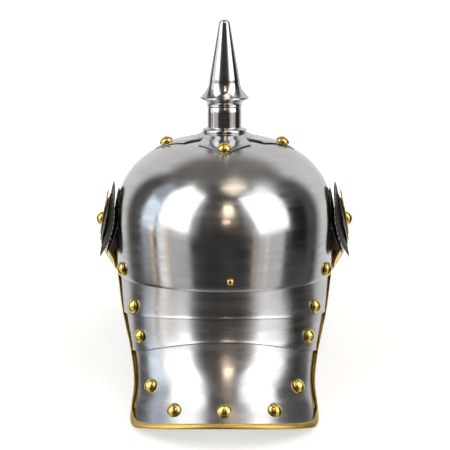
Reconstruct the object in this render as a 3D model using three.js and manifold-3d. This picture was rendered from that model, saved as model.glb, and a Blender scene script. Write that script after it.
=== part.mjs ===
// A spiked steel helmet with a laminated neck guard, standing by itself on a table.
// Units are millimetres. In the helmet's own frame +Z is up along the spike, the peak points to -Y,
// the neck guard to +Y, and Z = 0 is the plane of the skull's lower rim.

import * as THREE from 'three';
import { mergeVertices } from 'three/addons/utils/BufferGeometryUtils.js';
import Module from 'manifold-3d';

const wasm = await Module();
wasm.setup();

// Sheet metal and fits
const SHEET = 1.2;
const FIT_GAP = 0.3;
const NEST_GAP = 0.5;
const STRAP_GAP = 1;
const CUTTER_WALL = 8;

// Skull
const SKULL_HALF_WIDTH = 101.3;
const SKULL_HALF_LENGTH = 125;
const SKULL_WIDEST_LEVEL = 43.5;
const SKULL_APEX_LEVEL = 127;
const RIM_HALF_WIDTH = 98.5;
const RIM_HALF_LENGTH = 119.5;
const FRONT_VIEW_FULLNESS = 2.45;
const SIDE_VIEW_FULLNESS = 2;
const LOWER_WALL_BEND = 1.8;
const ROUND_STEPS = 36;

// Neck guard
const GUARD_DEPTH = 112;
const TAIL_REACH = 48;
const SIDE_REACH = 110;
const SIDE_DROOP = 22;
const GUARD_CREASE = 0.4;
const TUCK = 14;
const TAIL_CORNER_RADIUS = 15;
const CORNER_STEPS = 5;

// Sections of the neck guard from the skull's rim down. level is a share of GUARD_DEPTH, width of
// RIM_HALF_WIDTH, back of TAIL_REACH beyond the rim, side of SIDE_REACH, droop of SIDE_DROOP.
const GUARD_SECTIONS = [
  { level: 0, width: 1, back: 0, side: 0, droop: 0 },
  { level: 0.216, width: 0.942, back: 0.02, side: 0.27, droop: 0.34 },
  { level: 0.4, width: 0.858, back: 0.08, side: 0.52, droop: 0.84 },
  { level: 0.6, width: 0.822, back: 0.23, side: 0.73, droop: 0.88 },
  { level: 0.8, width: 0.839, back: 0.56, side: 0.9, droop: 0.7 },
  { level: 1, width: 0.863, back: 1, side: 1, droop: 0.42 },
];
const UPPER_LAME_EDGE = 0.216;
const LOWER_LAME_EDGE = 0.4;

// Brass edging, a folded channel
const TRIM_WALL = 0.8;
const TRIM_LIP = 4.2;
const TRIM_TOP_LEVEL = 0.02;

// Rivets
const RIVET_RADIUS = 6.5;
const RIVET_HEIGHT = 5.2;
const SMALL_RIVET_RADIUS = 3.1;
const SMALL_RIVET_HEIGHT = 2.6;
const SHANK_RADIUS = 1.6;
const SMALL_SHANK_RADIUS = 1;
const SHANK_LENGTH = 5.2;
const RIVET_SEAT = 0.6;
const RIVET_SHOULDER = { radius: 0.76, height: 0.66 };
const HOLE_SIDES = 6;
const RIVET_SIDES = 8;
const SIDE_RIVET_ANGLE = 68.6;
const SIDE_RIVET_LEVEL = 9;
const LAME_RIVET_ANGLE = 60.5;
const UPPER_LAME_RIVET_SHARE = 0.158;
const LOWER_LAME_RIVET_SHARE = 0.322;
const RIM_RIVET_LEVEL = 9.4;
const RIM_RIVET_ANGLE = -3;
const TAIL_RIVETS = [
  { angle: -55.1, share: 0.66 },
  { angle: -32.2, share: 0.872 },
  { angle: 0, share: 0.888 },
  { angle: 32.2, share: 0.872 },
  { angle: 55.1, share: 0.66 },
];

// Plate under the spike
const CROSS_ARM = 64.5;
const CROSS_SHOULDER_OUT = 37;
const CROSS_SHOULDER_HALF_WIDTH = 24.3;
const CROSS_NOTCH_REACH = 29;
const CROSS_SIDE_HOLLOW = 0.9;
const CROSS_SIDE_STEPS = 3;
const CROSS_RIVET_REACH = 53;

// Spike and its neck
const NECK_RADIUS = 15.8;
const NECK_HEIGHT = 20;
const NECK_RING_RADIUS = 20.6;
const NECK_RING_THICKNESS = 5.4;
const NECK_FOOT_DROP = 0.8;
const NECK_FILLET = 1.2;
const SPIKE_HEIGHT = 80;
const FLANGE_RADIUS = 22.8;
const FLANGE_LEVEL = 7.2;
const FLANGE_LIP = 1.4;
const CONE_FOOT_RADIUS = 14.6;
const CONE_FOOT_LEVEL = 21;
const TIP_RADIUS = 4.6;
const TIP_ROUND = 3;
const SEAM_LIP = 0.5;
const SEAM_HEIGHT = 1.4;
const STUD_RADIUS = 5;
const STUD_LENGTH = 14;
const TURNED_SIDES = 20;

// Peak
const PEAK_HALF_STEPS = 6;
const PEAK_REACH = 50;
const PEAK_DROP = 31;
const PEAK_END_SHARE = 0.1;
const PEAK_OUTLINE_BEND = 1.2;
const PEAK_SLOPE_BEND = 1.15;
const PEAK_RIVET_LEVEL = 6.6;
const PEAK_RIVET_ANGLE = 44;
const PEAK_RIVET_HEAD = 4.2;

// Rosette, a stack on a post at each side
const ROSETTE_LEVEL = 48;
const ROSETTE_STAND_OFF = 2.1;
const ROSETTE_LEAN = 10.5;
const COCKADE_TEETH = 16;
const INNER_COCKADE_RADIUS = 31.5;
const OUTER_COCKADE_RADIUS = 36;
const COCKADE_SHEET = 0.8;
const COCKADE_TOOTH = 1.2;
const COCKADE_RING_RADIUS = 24;
const COCKADE_WASHER_RADIUS = 20;
const COCKADE_PLATE_RADIUS = 21.5;
const COCKADE_PLATE_RISE = 6.5;
const THIN_DISC = 0.8;
const POST_RADIUS = 2.5;
const POST_END = 2;
const DISC_SIDES = 20;
const ROSETTE_RIVET_HEIGHT = 6;

// Chin strap, stored over the front above the peak
const STRAP_FRONT_LEVEL = 25;
const STRAP_FALL = 4;
const STRAP_DIP = 14;
const STRAP_DIP_END = 0.36;
const STRAP_FRONT_OFF = 1.2;
const STRAP_END = -0.06;
const STRAP_SPREAD_FROM = 0.24;
const STRAP_SPREAD_TO = 0.34;
const LEATHER_THICKNESS = 1.2;
const LEATHER_HALF_WIDTH = 9;
const SCALES_PER_SIDE = 10;
const SCALE_START_HALF_WIDTH = 25;
const SCALE_FRONT_HALF_WIDTH = 11;
const SCALE_SHEET = 0.7;
const SCALE_LIFT = 1.5;
const SCALE_CROWN = 1.6;
const SCALE_SCALLOP = 0.1;
const SCALE_END = 0.02;
const SCALE_CURL = 10;
const SCALE_CURL_FROM = 32;
const SCALE_CURL_TO = 50;
const CLASP_LENGTH = 12;
const CLASP_GAP = 0.5;
const CLASP_HALF_HEIGHT = 9;
const CLASP_THICKNESS = 2;

const radians = (degrees) => (degrees * Math.PI) / 180;

function lathePoints(pairs) {
  return pairs.map(([radius, height]) => new THREE.Vector2(radius, height));
}

// One closed body from points and triangles, with its faces turned outward.
function closedBody(points, triangles) {
  let volume = 0;
  const normal = new THREE.Vector3();
  for (const [a, b, c] of triangles) {
    normal.crossVectors(points[b], points[c]);
    volume += points[a].dot(normal);
  }
  const facing = volume > 0 ? triangles : triangles.map(([a, b, c]) => [a, c, b]);
  const geometry = new THREE.BufferGeometry();
  const positions = points.flatMap((point) => [point.x, point.y, point.z]);
  geometry.setAttribute('position', new THREE.Float32BufferAttribute(positions, 3));
  geometry.setIndex(facing.flat());
  return geometry;
}

// A sheet from two matching grids of points. A round sheet closes on its first column, and a pole
// is the point that closes its last row.
function sheetBody(outer, inner, { round = false, poles = null } = {}) {
  const points = [];
  const triangles = [];
  const store = (grid) => grid.map((row) => row.map((point) => points.push(point) - 1));
  const a = store(outer);
  const b = store(inner);
  const quad = (p, q, r, s) => triangles.push([p, q, r], [p, r, s]);
  const lastRow = outer.length - 1;
  const columns = outer[0].length;
  const spans = round ? columns : columns - 1;
  for (let column = 0; column < spans; column += 1) {
    const next = (column + 1) % columns;
    for (let row = 0; row < lastRow; row += 1) {
      quad(a[row][column], a[row][next], a[row + 1][next], a[row + 1][column]);
      quad(b[row][column], b[row + 1][column], b[row + 1][next], b[row][next]);
    }
    quad(a[0][column], b[0][column], b[0][next], a[0][next]);
    if (!poles) {
      quad(a[lastRow][column], a[lastRow][next], b[lastRow][next], b[lastRow][column]);
    }
  }
  if (poles) {
    const [top, bottom] = poles.map((point) => points.push(point) - 1);
    for (let column = 0; column < spans; column += 1) {
      const next = (column + 1) % columns;
      triangles.push([a[lastRow][column], a[lastRow][next], top]);
      triangles.push([b[lastRow][next], b[lastRow][column], bottom]);
    }
  }
  if (!round) {
    const end = columns - 1;
    for (let row = 0; row < lastRow; row += 1) {
      quad(a[row][0], a[row + 1][0], b[row + 1][0], b[row][0]);
      quad(a[row][end], b[row][end], b[row + 1][end], a[row + 1][end]);
    }
  }
  return closedBody(points, triangles);
}

// A section carried along a path and closed at both ends. places holds the section's corners at
// each step, and outline the same corners as a flat figure.
function sweptBody(places, outline) {
  const points = places.flat();
  const corners = outline.length;
  const triangles = [];
  for (let step = 0; step < places.length - 1; step += 1) {
    for (let corner = 0; corner < corners; corner += 1) {
      const next = (corner + 1) % corners;
      const p = step * corners + corner;
      const q = step * corners + next;
      triangles.push([p, q, q + corners], [p, q + corners, p + corners]);
    }
  }
  const last = (places.length - 1) * corners;
  const sense = Math.sign(THREE.ShapeUtils.area(outline));
  for (const [p, q, r] of THREE.ShapeUtils.triangulateShape(outline, [])) {
    const own = Math.sign(THREE.ShapeUtils.area([outline[p], outline[q], outline[r]]));
    const [m, n] = own === sense ? [q, r] : [r, q];
    triangles.push([p, n, m], [p + last, m + last, n + last]);
  }
  return closedBody(points, triangles);
}

function turnedBody(pairs, sides) {
  const geometry = new THREE.LatheGeometry(lathePoints(pairs), sides);
  geometry.rotateX(Math.PI / 2);
  return joined(geometry);
}

// The same body with shared corners and no collapsed faces.
function joined(geometry) {
  const bare = geometry.clone();
  for (const name of ['normal', 'uv']) {
    bare.deleteAttribute(name);
  }
  const merged = mergeVertices(bare, 1e-4);
  const index = merged.index.array;
  const kept = [];
  for (let i = 0; i < index.length; i += 3) {
    const [a, b, c] = index.slice(i, i + 3);
    if (a !== b && b !== c && c !== a) {
      kept.push(a, b, c);
    }
  }
  merged.setIndex(kept);
  return merged;
}

function solidOf(geometry) {
  const merged = joined(geometry);
  const vertProperties = new Float32Array(merged.attributes.position.array);
  const triVerts = new Uint32Array(merged.index.array);
  return new wasm.Manifold(new wasm.Mesh({ numProp: 3, vertProperties, triVerts }));
}

function geometryOf(solid) {
  const mesh = solid.getMesh();
  const geometry = new THREE.BufferGeometry();
  const positions = [];
  for (let i = 0; i < mesh.vertProperties.length; i += mesh.numProp) {
    positions.push(...mesh.vertProperties.slice(i, i + 3));
  }
  geometry.setAttribute('position', new THREE.Float32BufferAttribute(positions, 3));
  geometry.setIndex(Array.from(mesh.triVerts));
  return geometry;
}

function drilled(geometry, drills) {
  let solid = solidOf(geometry);
  for (const drill of drills) {
    solid = solid.subtract(solidOf(drill));
  }
  return geometryOf(solid);
}

// A point between the rows of a table, on a smooth curve through them.
function between(rows, column, share) {
  const last = rows.length - 1;
  let i = rows.findIndex((row, at) => at > 0 && share <= row.level) - 1;
  if (i < 0) {
    i = last - 1;
  }
  const slope = (at) => {
    const low = rows[Math.max(at - 1, 0)];
    const high = rows[Math.min(at + 1, last)];
    return (high[column] - low[column]) / (high.level - low.level);
  };
  const span = rows[i + 1].level - rows[i].level;
  const x = (share - rows[i].level) / span;
  const rise = 3 * x * x - 2 * x * x * x;
  const value = rows[i][column] + (rows[i + 1][column] - rows[i][column]) * rise;
  const bend = slope(i) * (x * x * x - 2 * x * x + x) + slope(i + 1) * (x * x * x - x * x);
  return value + bend * span;
}

// The skull's outer face. angle runs round from the back towards +X, and climb from -1 at the rim
// over 0 at the widest level to 1 at the apex.
function skullFace(angle, climb) {
  let halfX;
  let halfY;
  let level;
  if (climb <= 0) {
    const inward = Math.abs(climb) ** LOWER_WALL_BEND;
    halfX = SKULL_HALF_WIDTH - (SKULL_HALF_WIDTH - RIM_HALF_WIDTH) * inward;
    halfY = SKULL_HALF_LENGTH - (SKULL_HALF_LENGTH - RIM_HALF_LENGTH) * inward;
    level = SKULL_WIDEST_LEVEL * (1 + climb);
  } else {
    const rise = Math.sin((climb * Math.PI) / 2);
    const narrow = (fullness) => (1 - rise ** fullness) ** (1 / fullness);
    halfX = SKULL_HALF_WIDTH * narrow(FRONT_VIEW_FULLNESS);
    halfY = SKULL_HALF_LENGTH * narrow(SIDE_VIEW_FULLNESS);
    level = SKULL_WIDEST_LEVEL + (SKULL_APEX_LEVEL - SKULL_WIDEST_LEVEL) * rise;
  }
  return new THREE.Vector3(halfX * Math.sin(angle), halfY * Math.cos(angle), level);
}

function climbOfLevel(level) {
  if (level <= SKULL_WIDEST_LEVEL) {
    return level / SKULL_WIDEST_LEVEL - 1;
  }
  const rise = (level - SKULL_WIDEST_LEVEL) / (SKULL_APEX_LEVEL - SKULL_WIDEST_LEVEL);
  return (2 / Math.PI) * Math.asin(Math.min(rise, 1));
}

// The neck guard's outer face. share runs from 0 at the skull's rim to 1 at the tail's edge, and
// below 0 it carries on up the skull.
function guardFace(angle, share) {
  if (share < 0) {
    return skullFace(angle, climbOfLevel(-share * GUARD_DEPTH));
  }
  const halfWidth = RIM_HALF_WIDTH * between(GUARD_SECTIONS, 'width', share);
  const back = RIM_HALF_LENGTH + TAIL_REACH * between(GUARD_SECTIONS, 'back', share);
  const side = SIDE_REACH * between(GUARD_SECTIONS, 'side', share);
  const droop = SIDE_DROOP * between(GUARD_SECTIONS, 'droop', share) * Math.sin(angle) ** 2;
  const crease = 1 + GUARD_CREASE * Math.sin((Math.PI / 2) * Math.min(share, 1));
  const reach = Math.sign(Math.cos(angle)) * Math.abs(Math.cos(angle)) ** crease;
  const y = side + (back - side) * reach;
  return new THREE.Vector3(halfWidth * Math.sin(angle), y, -GUARD_DEPTH * share - droop);
}

// The outward direction of a face at one place.
function outwardOf(face, u, v) {
  const step = 1e-3;
  const alongU = face(u + step, v).sub(face(u - step, v));
  const alongV = face(u, v + step).sub(face(u, v - step));
  const normal = alongU.cross(alongV).normalize();
  const outside = face(u, v);
  outside.z = 0;
  return normal.dot(outside) < 0 ? normal.negate() : normal;
}

function skullOutward(angle, climb) {
  if (climb > 0.995) {
    return new THREE.Vector3(0, 0, 1);
  }
  const normal = outwardOf(skullFace, angle, climb);
  return climb > 0 && normal.z < 0 ? normal.negate() : normal;
}

function onSkull(angle, climb, offset) {
  return skullFace(angle, climb).addScaledVector(skullOutward(angle, climb), offset);
}

function onGuard(angle, share, offset) {
  return guardFace(angle, share).addScaledVector(outwardOf(guardFace, angle, share), offset);
}

// A point of the skull's outer face straight above a place in the plan.
function skullAbove(x, y) {
  let low = 0;
  let high = 1;
  for (let i = 0; i < 40; i += 1) {
    const climb = (low + high) / 2;
    const edge = skullFace(Math.PI / 2, climb).x;
    const end = skullFace(0, climb).y;
    if ((x / edge) ** 2 + (y / end) ** 2 < 1) {
      low = climb;
    } else {
      high = climb;
    }
  }
  const climb = (low + high) / 2;
  const angle = Math.atan2(x / skullFace(Math.PI / 2, climb).x, y / skullFace(0, climb).y);
  return { angle, climb };
}

// A placement whose own Z axis points outward at one place of a face.
function placement(point, outward) {
  const turn = new THREE.Quaternion().setFromUnitVectors(new THREE.Vector3(0, 0, 1), outward);
  return { point, turn };
}

function placed(geometry, { point, turn }) {
  return geometry.clone().applyQuaternion(turn).translate(point.x, point.y, point.z);
}

// A rivet: a slightly pointed dome on a shank that goes down through the sheets.
function rivetBody(radius, height, shankRadius, shankLength) {
  return turnedBody([
    [0, -shankLength],
    [shankRadius, -shankLength],
    [shankRadius, 0],
    [radius, 0],
    [radius * RIVET_SHOULDER.radius, height * RIVET_SHOULDER.height],
    [0, height],
  ], RIVET_SIDES);
}

function drillBody(shankRadius, length) {
  const radius = (shankRadius + FIT_GAP) / Math.cos(Math.PI / HOLE_SIDES);
  const drill = new THREE.CylinderGeometry(radius, radius, 2 * length, HOLE_SIDES);
  return drill.rotateX(Math.PI / 2);
}

// Skull
const skullColumns = Array.from({ length: ROUND_STEPS }, (_, i) => (2 * Math.PI * i) / ROUND_STEPS);
const skullClimbs = [-1, climbOfLevel(TUCK), 0, 0.16, 0.32, 0.48, 0.64, 0.79, 0.92];

// The skull's bowl, its outer face raised and its wall made thicker where it serves as a cutter.
function skullBody(raise = 0, wall = SHEET) {
  const grid = (offset) => skullClimbs.map(
    (climb) => skullColumns.map((angle) => onSkull(angle, climb, offset)),
  );
  const poles = [raise, -wall].map((offset) => new THREE.Vector3(0, 0, SKULL_APEX_LEVEL + offset));
  return sheetBody(grid(raise), grid(-wall), { round: true, poles });
}

// Neck guard
const guardColumns = Array.from(
  { length: ROUND_STEPS / 2 + 1 },
  (_, i) => -Math.PI / 2 + (2 * Math.PI * i) / ROUND_STEPS,
);
const nestDepth = SHEET + NEST_GAP;

// The plates in order, each with the share of its tucked top edge and of its own lower edge.
const tuckShare = TUCK / GUARD_DEPTH;
const PLATES = [
  { start: -Infinity, edge: 0 },
  { start: -tuckShare, edge: UPPER_LAME_EDGE },
  { start: UPPER_LAME_EDGE - tuckShare, edge: LOWER_LAME_EDGE },
  { start: LOWER_LAME_EDGE - tuckShare, edge: 1 },
];
const [, UPPER, LOWER, TAIL] = PLATES;

// How deep a plate's outer face lies: under the plate above as far as that one's edge, then rising
// to the outside at its own edge.
function plateDepth(plate, share) {
  const at = PLATES.indexOf(plate);
  if (at === 0) {
    return 0;
  }
  const above = PLATES[at - 1];
  if (share <= above.edge) {
    return plateDepth(above, share) + nestDepth;
  }
  return nestDepth * (1 - Math.min((share - above.edge) / (plate.edge - above.edge), 1));
}

function plateBody(plate, columns, rows) {
  const grid = (offset) => rows.map((row) => columns.map((angle, at) => {
    const share = typeof row === 'function' ? row(at) : row;
    return onGuard(angle, share, offset - plateDepth(plate, share));
  }));
  return sheetBody(grid(0), grid(-SHEET));
}

// The tail's bottom edge: the angle and share of each step of its rounded corners and of its run.
function tailEdge() {
  const bottomLength = (angle) => guardFace(angle, 1).distanceTo(guardFace(Math.PI / 2, 1));
  const angleAt = (distance) => {
    let low = 0;
    let high = Math.PI / 2;
    for (let i = 0; i < 40; i += 1) {
      const middle = (low + high) / 2;
      if (bottomLength(middle) > distance) {
        low = middle;
      } else {
        high = middle;
      }
    }
    return (low + high) / 2;
  };
  const corner = Array.from({ length: CORNER_STEPS + 1 }, (_, i) => {
    const turn = (Math.PI / 2) * (i / CORNER_STEPS);
    const angle = angleAt(TAIL_CORNER_RADIUS * (1 - Math.cos(turn)));
    const perShare = guardFace(angle, 1).distanceTo(guardFace(angle, 0.99)) / 0.01;
    return { angle, share: 1 - (TAIL_CORNER_RADIUS * (1 - Math.sin(turn))) / perShare };
  });
  const inner = corner[CORNER_STEPS].angle;
  const run = guardColumns.filter((angle) => Math.abs(angle) < inner - radians(2));
  const straight = run.map((angle) => ({ angle, share: 1 })).reverse();
  const mirrored = corner.map(({ angle, share }) => ({ angle: -angle, share })).reverse();
  return [...corner, ...straight, ...mirrored];
}

const tailSteps = tailEdge();

const tailRises = [0.2, 0.4, 0.6, 0.75, 0.9];
const tailShare = (rise, end) => LOWER.edge + (end - LOWER.edge) * rise;

function tailBody() {
  const rows = [TAIL.start, LOWER.edge].concat([...tailRises, 1].map(
    (rise) => (at) => tailShare(rise, tailSteps[at].share),
  ));
  return plateBody(TAIL, tailSteps.map((step) => step.angle), rows);
}

// The folded section of the edging, across the sheet's edge: x runs outward past the edge and y
// along the face's outward direction.
function trimOutline(depth) {
  const out = FIT_GAP + TRIM_WALL;
  const corners = [
    [-TRIM_LIP, out],
    [FIT_GAP, out],
    [out, FIT_GAP],
    [out, -depth - out],
    [-TRIM_LIP, -depth - out],
    [-TRIM_LIP, -depth - FIT_GAP],
    [FIT_GAP, -depth - FIT_GAP],
    [FIT_GAP, FIT_GAP],
    [-TRIM_LIP, FIT_GAP],
  ];
  return corners.map(([x, y]) => new THREE.Vector2(x, y));
}

// Edging along the edge of a face. Each step has its point, the face's outward direction and a
// point further in on the sheet.
function trimBody(steps, depth) {
  const outline = trimOutline(depth);
  const places = steps.map(({ point, outward, inside }, at) => {
    const before = steps[Math.max(at - 1, 0)].point;
    const after = steps[Math.min(at + 1, steps.length - 1)].point;
    const along = after.clone().sub(before).normalize();
    const out = along.clone().cross(outward).normalize();
    if (out.dot(inside.clone().sub(point)) > 0) {
      out.negate();
    }
    return outline.map(({ x, y }) => point.clone()
      .addScaledVector(out, x)
      .addScaledVector(outward, y));
  });
  return sweptBody(places, outline);
}

function neckTrimBody() {
  const first = tailSteps[0];
  const shares = [TRIM_TOP_LEVEL, LOWER.start, UPPER.edge, TAIL.start, LOWER.edge]
    .concat(tailRises.map((rise) => tailShare(rise, first.share)));
  const side = shares.map((share) => ({ angle: first.angle, share }));
  const otherSide = side.map(({ angle, share }) => ({ angle: -angle, share })).reverse();
  const steps = [...side, ...tailSteps, ...otherSide].map(({ angle, share }) => ({
    point: guardFace(angle, share),
    outward: outwardOf(guardFace, angle, share),
    inside: guardFace(angle * 0.8, share * 0.8),
  }));
  return trimBody(steps, 2 * nestDepth + SHEET);
}

// Peak: a flange inside the skull's front rim, folded out into a sloping brim. turn runs from -1 to
// 1 across the front, and reach from 0 at the rim to 1 at the edge.
const peakHalfAngle = (2 * Math.PI * PEAK_HALF_STEPS) / ROUND_STEPS;
const peakAngle = (turn) => Math.PI - turn * peakHalfAngle;
const peakShape = (turn) => PEAK_END_SHARE
  + (1 - PEAK_END_SHARE) * Math.max(Math.cos((turn * Math.PI) / 2), 0) ** PEAK_OUTLINE_BEND;
const flangeDepth = SHEET + NEST_GAP;

function brimFace(turn, reach) {
  const angle = peakAngle(turn);
  const rim = skullFace(angle, -1);
  const outward = new THREE.Vector3(rim.x / RIM_HALF_WIDTH ** 2, rim.y / RIM_HALF_LENGTH ** 2, 0);
  outward.normalize();
  const share = peakShape(turn);
  rim.addScaledVector(outward, PEAK_REACH * share * reach - flangeDepth);
  rim.z = -FIT_GAP - SHEET - PEAK_DROP * share * reach ** PEAK_SLOPE_BEND;
  return rim;
}

function brimOutward(turn, reach) {
  const step = 1e-3;
  const across = brimFace(turn + step, reach).sub(brimFace(turn - step, reach));
  const along = brimFace(turn, reach + step).sub(brimFace(turn, Math.max(reach - step, 0)));
  const normal = across.cross(along).normalize();
  return normal.z < 0 ? normal.negate() : normal;
}

const peakTurns = Array.from(
  { length: 2 * PEAK_HALF_STEPS + 1 },
  (_, i) => i / PEAK_HALF_STEPS - 1,
);

function peakBody() {
  const flange = [TUCK, FIT_GAP];
  const brim = [0.06, 0.35, 0.68, 1];
  const grid = (depth) => {
    const upper = flange.map((level) => peakTurns.map((turn) => onSkull(
      peakAngle(turn),
      climbOfLevel(level),
      -flangeDepth - depth,
    )));
    const lower = brim.map((reach) => peakTurns.map((turn) => brimFace(turn, reach)
      .addScaledVector(brimOutward(turn, reach), -depth)));
    return [...upper, ...lower];
  };
  return sheetBody(grid(0), grid(SHEET));
}

function peakTrimBody() {
  const steps = peakTurns.map((turn) => ({
    point: brimFace(turn, 1),
    outward: brimOutward(turn, 1),
    inside: brimFace(turn * 0.95, 0.5),
  }));
  return trimBody(steps, SHEET);
}

// The outline in plan of the plate under the spike: four sharp arms that widen to two shoulders
// each, with a notch between one arm and the next.
function crossOutline() {
  const tip = new THREE.Vector2(CROSS_ARM, 0);
  const shoulder = new THREE.Vector2(CROSS_SHOULDER_OUT, CROSS_SHOULDER_HALF_WIDTH);
  const notch = new THREE.Vector2(1, 1).multiplyScalar(CROSS_NOTCH_REACH * Math.SQRT1_2);
  const side = Array.from({ length: CROSS_SIDE_STEPS + 1 }, (_, i) => {
    const share = i / CROSS_SIDE_STEPS;
    const point = tip.clone().lerp(shoulder, share);
    point.y -= CROSS_SIDE_HOLLOW * Math.sin(Math.PI * share);
    return point;
  });
  const nextSide = side.slice(1).reverse().map((point) => new THREE.Vector2(point.y, point.x));
  const quarter = [...side, notch, ...nextSide];
  const origin = new THREE.Vector2(0, 0);
  return [0, 1, 2, 3].flatMap((turns) => quarter.map(
    (point) => point.clone().rotateAround(origin, (turns * Math.PI) / 2),
  ));
}

// The plate follows the skull under it.
function crossBody() {
  const outline = crossOutline();
  const shares = [1, 0.68, 0.34];
  const grid = (offset) => shares.map((share) => outline.map((point) => {
    const spot = skullAbove(point.x * share, point.y * share);
    return onSkull(spot.angle, spot.climb, offset);
  }));
  const poles = [FIT_GAP + SHEET, -FIT_GAP].map(
    (offset) => new THREE.Vector3(0, 0, SKULL_APEX_LEVEL + offset),
  );
  const plate = sheetBody(grid(FIT_GAP + SHEET), grid(-FIT_GAP), { round: true, poles });
  return drilled(plate, [skullBody(FIT_GAP, CUTTER_WALL)]);
}

// Turned neck and spike
const neckFoot = SKULL_APEX_LEVEL + 2 * FIT_GAP + SHEET;
const neckTop = neckFoot + NECK_RING_THICKNESS + NECK_HEIGHT;

function neckBody() {
  const bore = STUD_RADIUS + FIT_GAP;
  const boreDepth = STUD_LENGTH + FIT_GAP;
  const half = NECK_RING_THICKNESS / 2;
  const low = -NECK_FOOT_DROP;
  return turnedBody([
    [0, 0],
    [NECK_RING_RADIUS - half, low],
    [NECK_RING_RADIUS - 0.3 * half, low + 0.3 * half],
    [NECK_RING_RADIUS, half],
    [NECK_RING_RADIUS - 0.3 * half, 1.7 * half],
    [NECK_RING_RADIUS - half, 2 * half],
    [NECK_RADIUS, NECK_RING_THICKNESS + NECK_FILLET],
    [NECK_RADIUS, NECK_RING_THICKNESS + NECK_HEIGHT],
    [bore, NECK_RING_THICKNESS + NECK_HEIGHT],
    [bore, NECK_RING_THICKNESS + NECK_HEIGHT - boreDepth],
    [0, NECK_RING_THICKNESS + NECK_HEIGHT - boreDepth],
  ], TURNED_SIDES).translate(0, 0, neckFoot);
}

function spikeBody() {
  const coneRadius = (level) => {
    const up = (level - CONE_FOOT_LEVEL) / (SPIKE_HEIGHT - CONE_FOOT_LEVEL);
    return CONE_FOOT_RADIUS + (TIP_RADIUS - CONE_FOOT_RADIUS) * up;
  };
  const cone = [0, 0.5].map((share) => {
    const level = CONE_FOOT_LEVEL + (SPIKE_HEIGHT - CONE_FOOT_LEVEL) * share;
    return [coneRadius(level), level];
  });
  const flare = [0.3, 0.65].map((share) => {
    const level = FLANGE_LEVEL + FLANGE_LIP + (CONE_FOOT_LEVEL - FLANGE_LEVEL - FLANGE_LIP) * share;
    const spread = (FLANGE_RADIUS - CONE_FOOT_RADIUS) * (1 - share) ** 2;
    return [CONE_FOOT_RADIUS + spread, level];
  });
  const cove = [0.6, 0.2].map((share) => {
    const spread = (FLANGE_RADIUS - NECK_RADIUS) * share ** 2;
    return [NECK_RADIUS + spread, SEAM_HEIGHT + (FLANGE_LEVEL - SEAM_HEIGHT) * share];
  });
  return turnedBody([
    [0, -STUD_LENGTH],
    [STUD_RADIUS, -STUD_LENGTH],
    [STUD_RADIUS, 0],
    [NECK_RADIUS + SEAM_LIP, 0],
    [NECK_RADIUS + SEAM_LIP, SEAM_HEIGHT],
    ...cove.reverse(),
    [FLANGE_RADIUS, FLANGE_LEVEL],
    [FLANGE_RADIUS, FLANGE_LEVEL + FLANGE_LIP],
    ...flare,
    ...cone,
    [TIP_RADIUS, SPIKE_HEIGHT - TIP_ROUND],
    [TIP_RADIUS * 0.7, SPIKE_HEIGHT - TIP_ROUND * 0.3],
    [0, SPIKE_HEIGHT],
  ], TURNED_SIDES).translate(0, 0, neckTop + FIT_GAP);
}

// Rosette at the +X side, about its post's axis: each disc's face starts at a height on the post.
const rosetteLean = radians(ROSETTE_LEAN);
const rosetteAxis = new THREE.Vector3(Math.cos(rosetteLean), 0, Math.sin(rosetteLean));
const rosetteSeat = skullFace(Math.PI / 2, climbOfLevel(ROSETTE_LEVEL))
  .add(new THREE.Vector3(ROSETTE_STAND_OFF, 0, 0));
const holeRadius = POST_RADIUS + FIT_GAP;
const rosetteBend = SKULL_HALF_LENGTH ** 2 / SKULL_HALF_WIDTH;
const innerDiscBase = 0;
const strapBase = innerDiscBase + COCKADE_SHEET + STRAP_GAP;
const scaleBase = strapBase + LEATHER_THICKNESS + STRAP_GAP;
const outerDiscBase = scaleBase + SCALE_SHEET + STRAP_GAP;
const ringBase = outerDiscBase + COCKADE_SHEET + FIT_GAP;
const washerBase = ringBase + THIN_DISC + FIT_GAP;
const plateBase = washerBase + THIN_DISC + FIT_GAP;
const rivetBase = plateBase + THIN_DISC + FIT_GAP;

// A toothed disc, bent round the skull on both sides of its post.
function cockadeBody(radius, base) {
  const steps = COCKADE_TEETH * 2;
  const grid = (offset) => [radius, radius * 0.55, holeRadius].map(
    (reach, row) => Array.from({ length: steps }, (_, at) => {
      const angle = (2 * Math.PI * at) / steps;
      const r = row === 0 && at % 2 === 1 ? reach - COCKADE_TOOTH : reach;
      const y = r * Math.sin(angle);
      const fall = y ** 2 / (2 * rosetteBend);
      return new THREE.Vector3(r * Math.cos(angle), y, base - fall + offset);
    }),
  );
  return sheetBody(grid(COCKADE_SHEET), grid(0), { round: true });
}

function washerBody(radius, base) {
  return turnedBody([
    [holeRadius, base],
    [radius, base],
    [radius, base + THIN_DISC],
    [holeRadius, base + THIN_DISC],
    [holeRadius, base],
  ], DISC_SIDES);
}

function coverPlateBody() {
  const radius = COCKADE_PLATE_RADIUS;
  const plate = new THREE.CylinderGeometry(radius, radius, THIN_DISC, DISC_SIDES);
  plate.rotateX(Math.PI / 2);
  plate.translate(-COCKADE_PLATE_RISE, 0, plateBase + THIN_DISC / 2);
  return drilled(plate, [drillBody(POST_RADIUS, 2 * rivetBase)]);
}

const postLength = rivetBase + ROSETTE_STAND_OFF + SHEET + POST_END;

// The rosette's own axes: Z along the post, -X up the skull.
const rosettePlace = placement(rosetteSeat, rosetteAxis);

// How far the strap has come out from between the rosette's discs, from 0 to 1.
function strapSpread(along) {
  return THREE.MathUtils.smoothstep(along, STRAP_SPREAD_FROM, STRAP_SPREAD_TO);
}

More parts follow.
